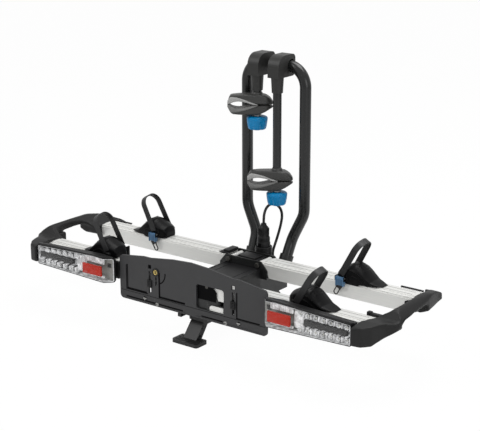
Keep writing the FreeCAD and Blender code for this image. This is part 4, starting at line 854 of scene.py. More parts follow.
def rounded(corners: Sequence[Pair], radii: Sequence[float], steps: int = 8) -> list[Pair]:
    """An open line through corners, with its inner corners rounded.

    Args:
        corners: the corners in order.
        radii: the radius at each inner corner.
        steps: steps of each arc.

    Returns:
        The points of the line.
    """
    points = [Vector(corner) for corner in corners]
    line = [tuple(points[0])]
    for before, here, after, radius in zip(points, points[1:], points[2:], radii):
        back, ahead = (before - here).normalized(), (after - here).normalized()
        half = back.angle(ahead) / 2
        reach = radius / math.tan(half)
        centre = here + (back + ahead).normalized() * (radius / math.sin(half))
        first, last = here + back * reach - centre, here + ahead * reach - centre
        start = math.atan2(first.y, first.x)
        swing = (math.atan2(last.y, last.x) - start + math.pi) % math.tau - math.pi
        for step in range(steps + 1):
            angle = start + swing * step / steps
            line.append((centre.x + radius * math.cos(angle), centre.y + radius * math.sin(angle)))
    line.append(tuple(points[-1]))
    return line


def outline(corners: Sequence[Pair], radius: float, steps: int = 4) -> list[Pair]:
    """A closed outline with rounded corners, started in the middle of its last side."""
    (a, b), (c, d) = corners[-1], corners[0]
    middle = ((a + c) / 2, (b + d) / 2)
    return rounded([middle, *corners, middle], [radius] * len(corners), steps)[:-1]


def inset(corners: Sequence[Pair], by: float) -> list[Pair]:
    """An outline moved inwards by a distance; its corners run anticlockwise."""
    result = []
    for index, corner in enumerate(corners):
        here = Vector(corner)
        into = (here - Vector(corners[index - 1])).normalized()
        away = (Vector(corners[(index + 1) % len(corners)]) - here).normalized()
        first, second = Vector((-into.y, into.x)), Vector((-away.y, away.x))
        spot = here + (first + second) * (by / (1 + first.dot(second)))
        result.append((spot.x, spot.y))
    return result


def along(points: Sequence[Pair], x: float) -> float:
    """Height of a broken line over x, level beyond its ends."""
    if x <= points[0][0]:
        return points[0][1]
    for (a, b), (c, d) in zip(points, points[1:]):
        if x <= c:
            return b + (d - b) * (x - a) / (c - a)
    return points[-1][1]


def ramp(value: float, start: float, end: float) -> float:
    """Share of the way from start to end, never below 0 or above 1."""
    return min(max((value - start) / (end - start), 0.0), 1.0)


def spaced(line: Sequence[Vector], step: float) -> list[Vector]:
    """Points a step apart along a line."""
    result = [line[0].copy()]
    left = step
    for start, end in zip(line, line[1:]):
        long = (end - start).length
        gone = 0.0
        while long - gone >= left:
            gone += left
            result.append(start.lerp(end, gone / long))
            left = step
        left -= long - gone
    return result


# Sub-assemblies


@dataclass
class Cable:
    """The parked lamp cable: plug, free cable, gland."""

    length: float = 0.253
    radius: float = 4.0
    plug_foot: Point = (0.0, -4.0, 130.0)
    holder_foot: Point = (0.0, -4.0, 118.0)
    gland_foot: Point = (6.0, 34.0, 118.0)
    grips: int = 16
    holder_ribs: int = 8
    collars: int = 3
    gland_ribs: int = 4
    route: tuple[Point, ...] = (
        (0, -4, 245), (0, -4, 256), (-1, 0, 274), (-2, 12, 289), (1, 28, 297), (9, 45, 294), (17, 57, 280),
        (20, 62, 259), (17, 60, 231), (12, 54, 202), (8, 46, 176), (6, 38, 158), (6, 34, 147), (6, 34, 136))

    def plug(self) -> bpy.types.Object:
        """The seven-pin plug standing in its holder, with grip ribs and a screwed cap."""
        x, y, foot = self.plug_foot
        shape = Shape()
        shape.turned([(0, 0), (18, 0), (19, 1), (19, 36), (20, 38), (20, 57), (18.6, 60), (18.3, 62),
                      (18.3, 72), (17.6, 75), (16, 78), (15.2, 92), (14.2, 103), (12, 106), (9.5, 108.5),
                      (8.4, 112), (8, 115), (4.1, 115), (0, 114.4)], self.plug_foot, steps=48)
        for count in range(self.grips):
            angle = math.tau * count / self.grips
            spin = Matrix.Translation(self.plug_foot) @ Matrix.Rotation(angle, 4, "Z")
            shape.block((14.2, -0.9, 79), (16.9, 0.9, 101), 0.6, 2, spin)
        for count in range(self.collars):
            level = foot + 63 + 3.6 * count
            shape.turned([(17.6, 0), (18.9, 0.6), (18.9, 2.0), (17.6, 2.6)], (x, y, level), steps=48)
        shape.painted(1).block((x - 5, y - 21.4, foot + 40), (x + 5, y - 18.4, foot + 58), 1.2)
        return finish_shape(shape, "plug_dressed", [BLACK, BLACK_AND_SHADE], "platform", ["plug"])

    def holder(self) -> None:
        """The park holder that the plug stands in, with ribs."""
        shape = Shape()
        shape.turned([(20.4, 12), (20.4, 56.6), (21.4, 58), (24, 58), (25.2, 57), (25.6, 52), (26.6, 4),
                      (27, 0), (20.4, 0), (20.4, 12)], self.holder_foot, steps=48)
        for count in range(self.holder_ribs):
            angle = math.tau * (count + 0.5) / self.holder_ribs
            spin = Matrix.Translation(self.holder_foot) @ Matrix.Rotation(angle, 4, "Z")
            shape.block((24.2, -1.2, 3), (26.8, 1.2, 40), 0.8, 2, spin)
        finish_shape(shape, "plug_holder_dressed", [BLACK], "platform", ["plug_holder"])

    def gland(self) -> bpy.types.Object:
        """The tapered strain relief in its hexagon nut, where the cable goes into the bracket."""
        shape = Shape()
        shape.turned([(0, 0), (8.2, 0), (9, 0.8), (9, 7.2), (8.2, 8), (0, 8)], self.gland_foot, steps=6)
        profile: list[Pair] = [(0, 8), (8, 8)]
        for count in range(self.gland_ribs):
            level, radius = 8.4 + count * 2.3, 7.9 - count * 0.62
            profile += [(radius, level), (radius, level + 1.3)]
            profile += [(radius - 1.1, level + 1.5), (radius - 1.1, level + 2.2)]
        profile += [(5.3, 18), (0, 18)]
        shape.turned(profile, self.gland_foot, steps=24)
        return finish_shape(shape, "cable_gland_dressed", [BLACK], "platform",
                            ["cable_gland"])

    def build(self) -> None:
        """Plug, holder, gland and the cable itself."""
        plug = self.plug()
        self.holder()
        gland = self.gland()
        curve = bpy.data.curves.new("cable_dressed", "CURVE")
        curve.dimensions = "3D"
        spline = curve.splines.new("NURBS")
        spline.points.add(len(self.route) - 1)
        for knot, spot in zip(spline.points, self.route):
            knot.co = (spot[0] * MM, spot[1] * MM, spot[2] * MM, 1.0)
        spline.order_u = 3
        spline.use_endpoint_u = True
        spline.resolution_u = 10
        curve.bevel_depth = self.radius * MM
        curve.bevel_resolution = 5
        curve.use_fill_caps = True
        cable = bpy.data.objects.new("cable_dressed", curve)
        dress(cable, [CORD], "platform", ["cable"])


@dataclass
class PlateHolder:
    """The number plate holder with its clips and lock."""

    face: float = -345.0
    clip_x: float = 148.0
    screw_x: float = 122.0
    lock: Pair = (-125.0, 161.0)
    hooks: Pair = (167.0, 75.0)
    ribs: tuple[float, ...] = (-236, -188, -60, -12, 132, 200, 244)
    groove_half: float = 1.9
    groove_deep: float = 1.5
    groove_area: float = 9e-4
    grooves: tuple[tuple[Pair, ...], ...] = (
        ((-232, 163), (-232, 94), (-162, 94)), ((-112, 160), (-112, 91), (-22, 91)),
        ((161, 160), (161, 88), (235, 88)), ((-236, 68), (-30, 68)), ((40, 68), (110, 68)))

    def panel(self) -> None:
        """The arched panel; groove floors and walls get painted shade."""
        groove = (self.face + self.groove_deep) * MM

        def tone(face: bmesh.types.BMFace) -> int:
            """1, for painted shade, on a groove's floor and walls; 0 elsewhere."""
            small = face.calc_area() < self.groove_area
            inside = self.face * MM + 1e-4 < face.calc_center_median().y < groove + 1e-4
            return int(inside and small)

        edged("plate_holder", 0.5, [PANEL, BLACK_AND_SHADE], "platform", 2, tone)

    def trims(self) -> None:
        """Lower lip, ribs behind, and strips of painted shade on the floors of the grooves and of the two
        openings.
        """
        face, half = self.face, self.groove_half
        shape = Shape()
        for low, high in ((-240, -20), (20, 240)):
            shape.block((low, face - 1.6, 60.5), (high, face + 0.5, 65), 1.2)
        for x in self.ribs:
            shape.block((x - 1.5, face + 5.6, 66), (x + 1.5, face + 9.5, 82), 0.8)
        shape.block((-250, face + 5.6, 70), (250, face + 9.0, 73), 0.8)
        # painted shade: dark strips in the grooves and in the two openings
        shape.painted(1)
        for line in self.grooves:
            for (a, b), (c, d) in zip(line, line[1:]):
                shape.block((min(a, c) - half, face - 0.25, min(b, d) - half),
                            (max(a, c) + half, face + 0.6, max(b, d) + half), 0.2)
        for (left, low), (right, high) in (((-160, 166), (-143, 183)), ((142, 96), (154, 111))):
            shape.block((left, face + 4.4, low), (right, face + 5.8, high), 0.3)
        finish_shape(shape, "plate_holder_ribs", [PANEL, BLACK_AND_SHADE], "platform")

    def plate_hooks(self) -> None:
        """The metal hooks that the number plate stands on, and a slotted screw beside each."""
        face, z = self.face, self.hooks[1]
        metal = Shape()
        for sign in (-1, 1):
            x, screw = sign * self.hooks[0], sign * self.screw_x
            metal.block((x - 6, face - 2.2, z - 2.2), (x + 6, face + 0.4, z + 2.2), 0.8)
            metal.block((x - 1.6, face - 3.0, z - 5.5), (x + 1.6, face + 0.4, z - 1), 0.8)
            metal.turned([(0, 0), (2.4, 0), (5.2, 1.2), (6.2, 3), (6.2, 4), (0, 4)],
                         (screw, face - 3.2, 66), (0, 1, 0), 24)
            # painted shade: the screw's slot is a dark block
            metal.painted(1).block((screw - 3.4, face - 3.6, 65.3), (screw + 3.4, face - 2.4, 66.7))
            metal.painted(0)
        finish_shape(metal, "plate_hooks", [ZINC, BLACK_AND_SHADE], "platform")

    def lock_barrel(self) -> None:
        """The lock's black body with its brass ring and its key slot in painted shade, and painted shade in
        its curved recess.
        """
        (x, z), face = self.lock, self.face
        shape = Shape()
        shape.turned([(0, 13.5), (10, 13.5), (10, 3), (12, 2.4), (12, 0.8), (11, 0), (8.2, 0), (7.6, 1.0),
                      (0, 1.0)], (x, face - 3, z), (0, 1, 0), 40)
        shape.painted(1).turned([(0, 2), (7.3, 2), (7.3, 0.2), (6.6, -0.3), (5.6, 0.5), (0, 0.5)],
                                (x, face - 3, z), (0, 1, 0), 36)
        # painted shade: the key slot is a dark block
        shape.painted(2).block((x - 1.1, face - 3.2, z - 4.2), (x + 1.1, face - 2.4, z + 4.2))
        finish_shape(shape, "lock_dressed", [BLACK, BRASS, BLACK_AND_SHADE], "lock_cylinder",
                     ["lock_cylinder"])
        # painted shade of the curved recess: a dark arc and bar on the panel's face
        marks = Shape()
        sweep = [Vector((x + a, face - 0.15, z + b)) for a, b in arc((0, 0), 34, -64, 4, 12)]
        marks.sweep(sweep, Vector((0, -1, 0)), 0.6, 3.4)
        marks.block((x - 2.2, face - 0.5, z - 24), (x + 2.2, face + 0.3, z - 15), 0.2)
        finish_shape(marks, "lock_recess", [BLACK_AND_SHADE], "platform")

    def clips(self) -> None:
        """The sliding plate clips with grip ribs."""
        for side in Side:
            x = side.value * self.clip_x
            shape = Shape()
            shape.block((x - 8, self.face - 4, 112), (x + 8, self.face, 134), 1.2)
            shape.block((x - 3.7, self.face - 1, 112.5), (x + 3.7, self.face + 7, 133.5), 0.4)
            shape.block((x - 8, self.face + 6, 112), (x + 8, self.face + 9, 134), 0.8)
            for count in range(4):
                level = 116 + 4.4 * count
                shape.block((x - 6, self.face - 4.0, level), (x + 6, self.face - 3.4, level + 1.8), 0.5)
            name = "plate_clip_" + side.word
            finish_shape(shape, name + "_dressed", [BLACK], name, [name])

    def build(self) -> None:
        """All of the holder."""
        self.panel()
        self.trims()
        self.plate_hooks()
        self.lock_barrel()
        self.clips()


@dataclass
class Lamp:
    """A tail lamp, built on the right and turned over for the left."""

    side: Side
    inner: float = 266.0
    outer: float = 550.0
    rim: float = -388.0
    back: float = -343.5
    floor: float = -354.5
    face: float = -393.0
    middle: float = 140.0
    bed: float = -363.0
    turn_back: float = 28.0
    turn_wide: float = 20.0
    rows: Pair = (165.0, 123.5)
    pitch: float = 23.6
    cells: int = 7
    flute_pitch: float = 6.1
    flutes: int = 12
    tubes: int = 5
    body: tuple[Pair, ...] = (
        (266, 106), (288, 106.6), (550, 114), (550, 184.5), (400, 188.5), (288, 191.8), (266, 186))
    opening: tuple[Pair, ...] = (
        (268, 108), (288, 108.6), (548.8, 115.8), (548.8, 171), (322, 181), (288, 178.6), (268, 176.6))
    lens: tuple[Pair, ...] = ((268.5, 108.5), (548.4, 116.2), (548.4, 170.6), (322, 180.6), (268.5, 176.2))

    def ring(self, corners: Sequence[Pair], y: float, radius: float) -> list[Vector]:
        """One ring of the cup; its inner end lies farther back.

        Args:
            corners: the ring's outline.
            y: its place.
            radius: rounding of its corners.

        Returns:
            Its corners in space.
        """
        end = self.inner + self.turn_wide
        return [Vector((x, max(y, self.rim + self.turn_back * (end - x) / self.turn_wide), z))
                for x, z in outline(corners, radius)]

    def lowered(self, by: float) -> list[Pair]:
        """The body's outline with its upper edge lower."""
        return [(x, z if z < self.middle else z - by) for x, z in self.body]

    def housing(self) -> None:
        """Cup with a rim that turns back at its inner end, its bright bowl, and the feet towards the rail."""
        shape = Shape()
        outside = [self.ring(inset(self.lowered(top), by), y, 4) for by, top, y in (
            (11, 12, self.back), (9, 11, -345), (4, 12, -356), (1.2, 10, -366), (0, 8.6, -372),
            (0, 6.2, -380), (0.2, 5.0, self.rim + 1.6), (1.0, 5.4, self.rim))]
        inside = [self.ring(inset(self.opening, by), y, 3) for by, y in (
            (-0.3, self.rim), (-0.1, self.rim + 0.4), (0.1, self.rim + 1.2), (0.1, self.floor))]
        shape.loft(outside + inside)
        bowl = Shape().loft([self.ring(inset(self.opening, by), y, 3) for by, y in (
            (1.4, -362), (1.4, self.rim + 1.6), (0.4, self.rim + 1.6), (0.4, self.floor - 0.3))])
        # the bowl takes the optic finish, with its painted glints
        wing_piece(bowl, self.side, "lamp_bowl", [OPTIC])
        for low in (300, 480):
            shape.block((low, self.back - 1, 128), (low + 30, -334, 150), 1.0)
        shape.block((self.inner, self.back - 1, 112), (self.inner + 30, -337.3, 163), 1.0)
        wing_piece(shape, self.side, "lamp_housing_dressed", [BLACK], ["lamp_housing"])

    def cell(self, shape: Shape, row: float, x: float) -> None:
        """Add one star cell: a facet in painted shade, star, light and two fluted wedges.

        Args:
            shape: the optic.
            row: height of the cell's row.
            x: the cell's place along the row.
        """
        side, slope = (1, -0.04) if row > self.middle else (-1, 0.02)
        z = row + slope * (x - 400)
        # painted shade: the facet behind the star is a dark copy of the optic
        shape.painted(OpticPaint.FACET)
        shape.plate([(x - 11, z - side * 7.5), (x + 11.4, z - side * 7.5), (x + 5, z + side * 7),
                     (x - 6, z + side * 7)], self.bed - 11, self.bed + 1, 1.0)
        shape.painted(OpticPaint.BRIGHT)
        shape.turned([(1.6, 10), (4.4, 7), (6.4, 1.4), (6.7, 0), (5.8, 0), (1.6, 9)],
                     (x - 1, -384, z), (0, 1, 0), 6)
        shape.painted(OpticPaint.LIGHT)
        shape.turned([(0, 0), (1.6, 0.4), (2.1, 2), (0, 2)], (x - 1, -379, z), (0, 1, 0), 10)
        shape.painted(OpticPaint.FLUTED)
        shape.plate([(x + 5.4, z - side * 8), (x + 11.6, z - side * 5), (x + 9.6, z + side * 7.6),
                     (x + 7.4, z + side * 7.6)], self.bed - 20, self.bed, 0.8)
        shape.plate([(x - 8, z - side * 8.2), (x + 2, z - side * 8.2), (x - 4, z - side * 3)],
                    self.bed - 19, self.bed, 0.6)

    def optic(self) -> None:
        """The tray behind the cover: two rows of star cells, flutes, upright tubes and the dark bar."""
        back = self.floor - 0.4
        shape = Shape()
        shape.plate([(294, 114), (545, 120), (545, 168), (322, 178), (294, 176)], self.bed, back, 1.0)
        shape.painted(OpticPaint.FLUTED)
        shape.plate([(271, 112), (293, 112.6), (293, 176), (271, 174)], self.bed - 0.4, back, 0.6)
        shape.painted(OpticPaint.CHAMBER)
        shape.plate([(270, 111), (372, 112.6), (372, 176), (322, 179), (270, 174.6)],
                    self.bed - 1.6, back, 1.0)
        for row in self.rows:
            for count in range(self.cells):
                self.cell(shape, row, self.outer - 14 - self.pitch * count)
        shape.painted(OpticPaint.FLUTED)
        for count in range(self.flutes):
            x = 297 + self.flute_pitch * count
            shape.drum((x, -374, 157.5), (x, -374, 174 + 0.02 * (x - 300)), 2.9, 0.5, 10)
            shape.drum((x, -374, 116.5), (x, -374, 123), 2.9, 0.5, 10)
        for count in range(self.tubes):
            lean = -0.5 + 0.25 * count
            shape.turned([(0, 0), (3.2, 2), (4.6, 14), (4.6, 34), (3.2, 47), (0, 50)],
                         (385 + 22 * math.sin(lean), -376 + 6 * abs(lean), 121), (0, 0, 1), 10)
        shape.painted(OpticPaint.BAR).block((408, -388, 139), (538, -376, 155), 1.6)
        shape.painted(OpticPaint.BRIGHT)
        for low, high in ((136.4, 138.6), (155.4, 157.6)):
            shape.block((406, -381, low), (540, -362, high), 0.6)
        wing_piece(shape, self.side, "lamp_optic", [OPTIC, FLUTED, BAR, LED, CHAMBER, FACET],
                   ["lamp_reflector"])

    def reflector(self) -> None:
        """The red retroreflector block and the small bulb socket beside it."""
        shape = Shape()
        shape.block((294, -391.0, 125), (366, -384, 155), 1.6, 3)
        shape.painted(1).block((276, -366, 148), (290, -359, 161), 1.0)
        wing_piece(shape, self.side, "red_reflector", [RED, BAR])

    def cover(self) -> None:
        """The clear cover, cut aslant where the lamp turns back."""
        shape = Shape().plate(outline(self.lens, 3), self.face, self.floor + 0.2, 1.0, 3,
                              ((290, self.face, 0), (-31, -20, 0)))
        wing_piece(shape, self.side, "lamp_lens_dressed", [CLEAR], ["lamp_lens"])

    def build(self) -> None:
        """Housing, optic, reflector and clear cover."""
        self.housing()
        self.optic()
        self.reflector()
        self.cover()


@dataclass
class Wing:
    """Rails and end frame of one side."""

    side: Side
    rails: tuple[tuple[str, float], ...] = (("front", FRONT_RAIL), ("rear", REAR_RAIL))
    outer: float = 640.0
    corner: float = 575.0
    bar_inner: float = 558.0
    lamp_inner: float = 548.0
    lamp_end: float = -341.0
    lip_inner: float = 558.5
    lip_low: float = 126.0
    mouths: tuple[Pair, Pair] = ((-341.0, -265.0), (-125.0, -20.0))
    tail: float = 8.0
    tail_drop: float = 42.0
    sight: Pair = (1.3275, 0.4925)
    belly: tuple[Pair, ...] = (
        (-640, 90), (-460, 126), (-415, 142), (-372, 147), (-324, 150), (-292, 158), (-277, 172),
        (-227, 178), (-205, 172), (-184, 159), (-149, 157), (-114, 161), (-80, 166), (40, 170))

    def stops(self) -> None:
        """Black stops on the rails' tops; the front rail has one on the right wing alone."""
        shape = Shape()
        if self.side is Side.RIGHT:
            shape.block((528, FRONT_RAIL + 25, 161.5), (580, FRONT_RAIL + 38, 168.5), 1.2)
            shape.block((528, FRONT_RAIL + 25, 163), (540, FRONT_RAIL + 38, 171.5), 1.4)
        shape.block((488, REAR_RAIL + 28.5, 161.5), (558, REAR_RAIL + 34, 165.6), 1.0)
        wing_piece(shape, self.side, "rail_stops", [BLACK])

    def slimmed(self, bm: bmesh.types.BMesh) -> None:
        """Slant the end frame's inner upper side, and lift its underside.

        The underside is where the line called belly, drawn at the outer side, is carried inwards along
        sight: so many millimetres in Y and Z for each one in X.

        Args:
            bm: the softened end frame.
        """
        sign = self.side.value
        for vert in bm.verts:
            x, y, z = sign * vert.co.x / MM, vert.co.y / MM, vert.co.z / MM
            if z > RAIL_TOP:
                inner = self.bar_inner if y > self.lamp_end else self.lamp_inner
                x = max(x, inner + ramp(y, -318, -278) * (10 + 1.25 * (z - RAIL_TOP)))
            elif z > self.lip_low and any(start < y < end for start, end in self.mouths):
                x = max(x, self.lip_inner)
            y = min(y, self.tail - self.tail_drop * ramp(x, 576, 606))
            depth = self.outer - max(x, self.corner)
            z = max(z, along(self.belly, y - self.sight[0] * depth) - self.sight[1] * depth)
            vert.co = Vector((sign * x, y, z)) * MM
        bmesh.ops.remove_doubles(bm, verts=bm.verts[:], dist=0.5 * MM)
        for _ in range(6):
            bmesh.ops.smooth_vert(bm, verts=bm.verts[:], factor=0.5, use_axis_x=True, use_axis_y=True,
                                  use_axis_z=True)

    def latch_cover(self) -> None:
        """Black cover with a latch block on the rear rail's inner end, seen on the left wing."""
        shape = Shape()
        shape.block((-92, -99.4, 164.3), (-58, -39.6, 167.3), 1.2)
        shape.block((-82, -92, 166), (-60, -47, 173), 2.0, 3)
        finish_shape(shape, "latch_cover", [BLACK], "wing_left")

    def grooves(self) -> None:
        """Painted shade for the two grooves along the top of each rail: strips in a darker copy of the rail's
        finish.
        """
        shape = Shape()
        for _, y in self.rails:
            for offset in (-9.5, 9.5):
                shape.block((86, y + offset - 0.9, RAIL_TOP - 0.6),
                            (546, y + offset + 0.9, RAIL_TOP + 0.15), 0.1)
        wing_piece(shape, self.side, "rail_grooves", [RAIL_GROOVE_SHADE])

    def frame_details(self) -> None:
        """The foot below the end frame's arch, and the screws under its lip."""
        foot = Shape().block((588, -266, 124), (606, -226, 166), 6, 4)
        wing_piece(foot, self.side, "end_frame_foot", [FRAME_BLACK])
        screws = Shape()
        for y, z in ((-320, 117.2), (-287, 117.2), (-86, 121.8), (-53, 121.8)):
            screws.turned([(0, 0), (2.2, 0), (4.6, 1), (5.0, 2.6), (0, 2.6)], (566, y, z), (0, 0, 1), 20)
        wing_piece(screws, self.side, "end_frame_screws", [ZINC])

    def build(self) -> None:
        """Both rails, the end frame and what sits on them."""
        body = "wing_" + self.side.word
        for place, _ in self.rails:
            edged("rail_%s_%s" % (place, self.side.word), 0.5, [RAIL], body, 2)
        moulded("end_frame_" + self.side.word, 2.2, 14, [FRAME_BLACK], body,
                settle=self.slimmed)
        self.stops()
        self.grooves()
        self.frame_details()
        if self.side is Side.LEFT:
            self.latch_cover()


@dataclass
class WheelTray:
    """One wheel tray with its strap, pull ring and buckle."""

    place: str
    side: Side
    rail_y: float
    start: float
    peak: float
    end: float
    strap: float
    buckle_side: int
    lean: float = 28.0
    drop: float = 0.0
    half: float = 33.5
    toe: float = 12.0
    wall: float = 3.0
    edge: float = 0.5

    @property
    def word(self) -> str:
        """The tray's place and side, as the nodes have them."""
        return self.place + "_" + self.side.word

    @property
    def body(self) -> str:
        """The tray's body."""
        return "tray_" + self.word

    @property
    def crown(self) -> list[Pair]:
        """Height of the tray's back over its length: a hump that falls to a low toe."""
        return [(self.start, 183), (self.start + 6, 196), (self.peak - 14, 211), (self.peak - 4, 216.6),
                (self.peak + 8, 216.6), (self.peak + 20, 212), (self.peak + 33, 201), (self.peak + 46, 187),
                (self.peak + 58, 176), (self.end - self.toe - 14, 169), (self.end - self.toe, 165.4)]

    @property
    def plan(self) -> list[Pair]:
        """Share of the half width over the tray's length: both ends draw in."""
        return [(self.start, 0.62), (self.start + 8, 0.8), (self.start + 20, 0.94), (self.start + 34, 1.0),
                (self.peak + 22, 1.0), (self.peak + 50, 0.88), (self.end - self.toe - 16, 0.66),
                (self.end - self.toe, 0.42)]

    @property
    def cad_top(self) -> list[Pair]:
        """Height of the CAD tray's back over its length."""
        return [(self.start, 181), (self.start + 6, 197), (self.peak - 14, 212), (self.peak - 4, 217),
                (self.peak + 6, 217), (self.peak + 30, 208), (self.end - 24, 178), (self.end, 169)]

    def back_at(self, x: float, y: float) -> float:
        """Height of the back, which is rounded across the rail too."""
        foot = RAIL_TOP + 1
        return foot + (along(self.crown, x) - foot) * (1 - 0.27 * (abs(y) / self.half) ** 2.2)

    def humped(self, bm: bmesh.types.BMesh) -> None:
        """Bring the copy to its crown and its plan, above the rail."""
        sign, last, cad_top = self.side.value, self.end - self.toe, self.cad_top
        spots = {round(x, 1) for x, _ in self.crown + self.plan} | {self.start + 14, self.peak + 70}
        sliced(bm, 0, [sign * x for x in sorted(spots)])
        sliced(bm, 1, [self.rail_y + y for y in (-29, -22, -12, 0, 12, 22, 29)])
        for vert in bm.verts:
            x, y, z = sign * vert.co.x / MM, vert.co.y / MM - self.rail_y, vert.co.z / MM
            if abs(y) > self.half + self.edge:
                continue
            flank = abs(y) > self.half - self.edge
            outer = flank or x < self.start + self.edge or z > along(cad_top, x) - 1.6
            top = self.back_at(x, y) - (0 if outer else self.wall)
            share = along(self.plan, x)
            low = RAIL_TOP + 0.3 if share < 0.97 else 0
            z = max(min(z, top), low + (0 if z < RAIL_TOP + 1 else 0.4))
            vert.co = Vector((sign * min(x, last), self.rail_y + y * share, z)) * MM

    def beads(self) -> None:
        """Raised rims along both flanks, cross ribs on the saddle, and a front tray's strap guard."""
        shape = Shape()
        sign = self.side.value
        upper = [(x, self.back_at(x, self.half) - 2.6) for x, _ in self.crown[1:-1]]
        lower = [(self.peak - 18, 166), (self.peak - 8, 180), (self.peak + 6, 187), (self.peak + 22, 182),
                 (self.peak + 36, 172), (self.peak + 44, 166)]
        for flank in (-1, 1):
            for line, radius in ((upper, 1.5), (lower, 1.2)):
                rim = []
                for x, z in rounded(line, [12] * (len(line) - 2), 4):
                    out = self.half * along(self.plan, x) - 0.3
                    rim.append(Vector((sign * x, self.rail_y + flank * out, z)))
                shape.wire(rim, radius)
        for count in range(5):
            x = self.peak + 10 + 6 * count
            top = along(self.crown, x)
            shape.block((sign * x - 1.1, self.rail_y - 15, top - 5),
                        (sign * x + 1.1, self.rail_y + 15, top - 0.4), 0.6)
        if self.place == "front":
            x, y = sign * (self.strap - 15.5), self.rail_y + self.half
            shape.block((x - 2, y - 2, 152), (x + 2, y + 15, 183), 1.4)
        finish_shape(shape, "tray_rims_" + self.word, [TRAY], self.body)

    def strap_band(self) -> None:
        """The ratchet strap's loop, its tail and the pull ring."""
        x, name = self.side.value * self.strap, "strap_" + self.word
        turn = Matrix.Rotation(math.radians(self.side.value * self.lean), 4, "Y")
        base = Matrix.Translation((x, self.rail_y, 184.6 - self.drop)) @ turn
        near = 33.6 if self.place == "front" else 37
        corners: list[Pair] = [(-near, 0), (-33.5, 102), (33.5, 114), (37, 0)]
        line = [Vector((0, y, z)) for y, z in rounded(corners, [27, 30], 14)]
        shape = Shape()
        shape.sweep(spaced(line, 1.9), Vector((-1, 0, 0)), 19, 2.8,
                    lambda index: 0.0 if index % 3 else 0.9, base)
        hang = Matrix.Translation((x, self.rail_y + self.buckle_side * (self.half + 8), 158)) @ turn
        shape.block((-9, -1.2, -14), (9, 1.2, 0), 0.8, matrix=hang)
        shape.block((-10.5, -1.6, -6), (10.5, 1.6, -2.6), 0.8, matrix=hang)
        ring = rounded([(-6.2, -22), (-6.2, -34), (6.2, -34), (6.2, -22)], [6, 6], 6)[1:-1]
        ring += rounded([(6.2, -22), (6.2, -10), (-6.2, -10), (-6.2, -22)], [6, 6], 6)[1:-1]
        shape.painted(1).wire([Vector((a, 0, z)) for a, z in ring], 1.7, True, matrix=hang)
        finish_shape(shape, name + "_dressed", [STRAP, BLACK], self.body, [name], 40)

    def buckle(self) -> None:
        """The ratchet buckle: frame, lever with ribs, and its zinc pin."""
        x, out = self.side.value * self.strap, self.buckle_side
        pin = self.rail_y + out * (self.half + 7.5)
        low, high = pin - 6, pin + 6
        rib_low, rib_high = sorted((pin + 4.8 * out, pin + 6 * out))
        shape = Shape()
        shape.block((x - 13, low, 153), (x - 9.2, high, 180), 1.4)
        shape.block((x + 9.2, low, 153), (x + 13, high, 180), 1.4)
        shape.block((x - 10, low + 1.5, 155), (x + 10, high - 1.2, 178.6), 1.6)
        for count in range(5):
            level = 157.5 + 3.8 * count
            shape.block((x - 8.2, rib_low, level), (x + 8.2, rib_high, level + 1.8), 0.5)
        shape.painted(1).drum((x - 15.4, pin, 176), (x + 15.4, pin, 176), 2.5, 0.5, 20)
        name = "buckle_" + self.word
        finish_shape(shape, name + "_dressed", [BLUE_DARK, ZINC], name, [name])

    def build(self) -> None:
        """The tray and all on it."""
        moulded("tray_" + self.word, 1.5, 7, [TRAY], self.body, self.humped)
        self.beads()
        self.strap_band()
        self.buckle()


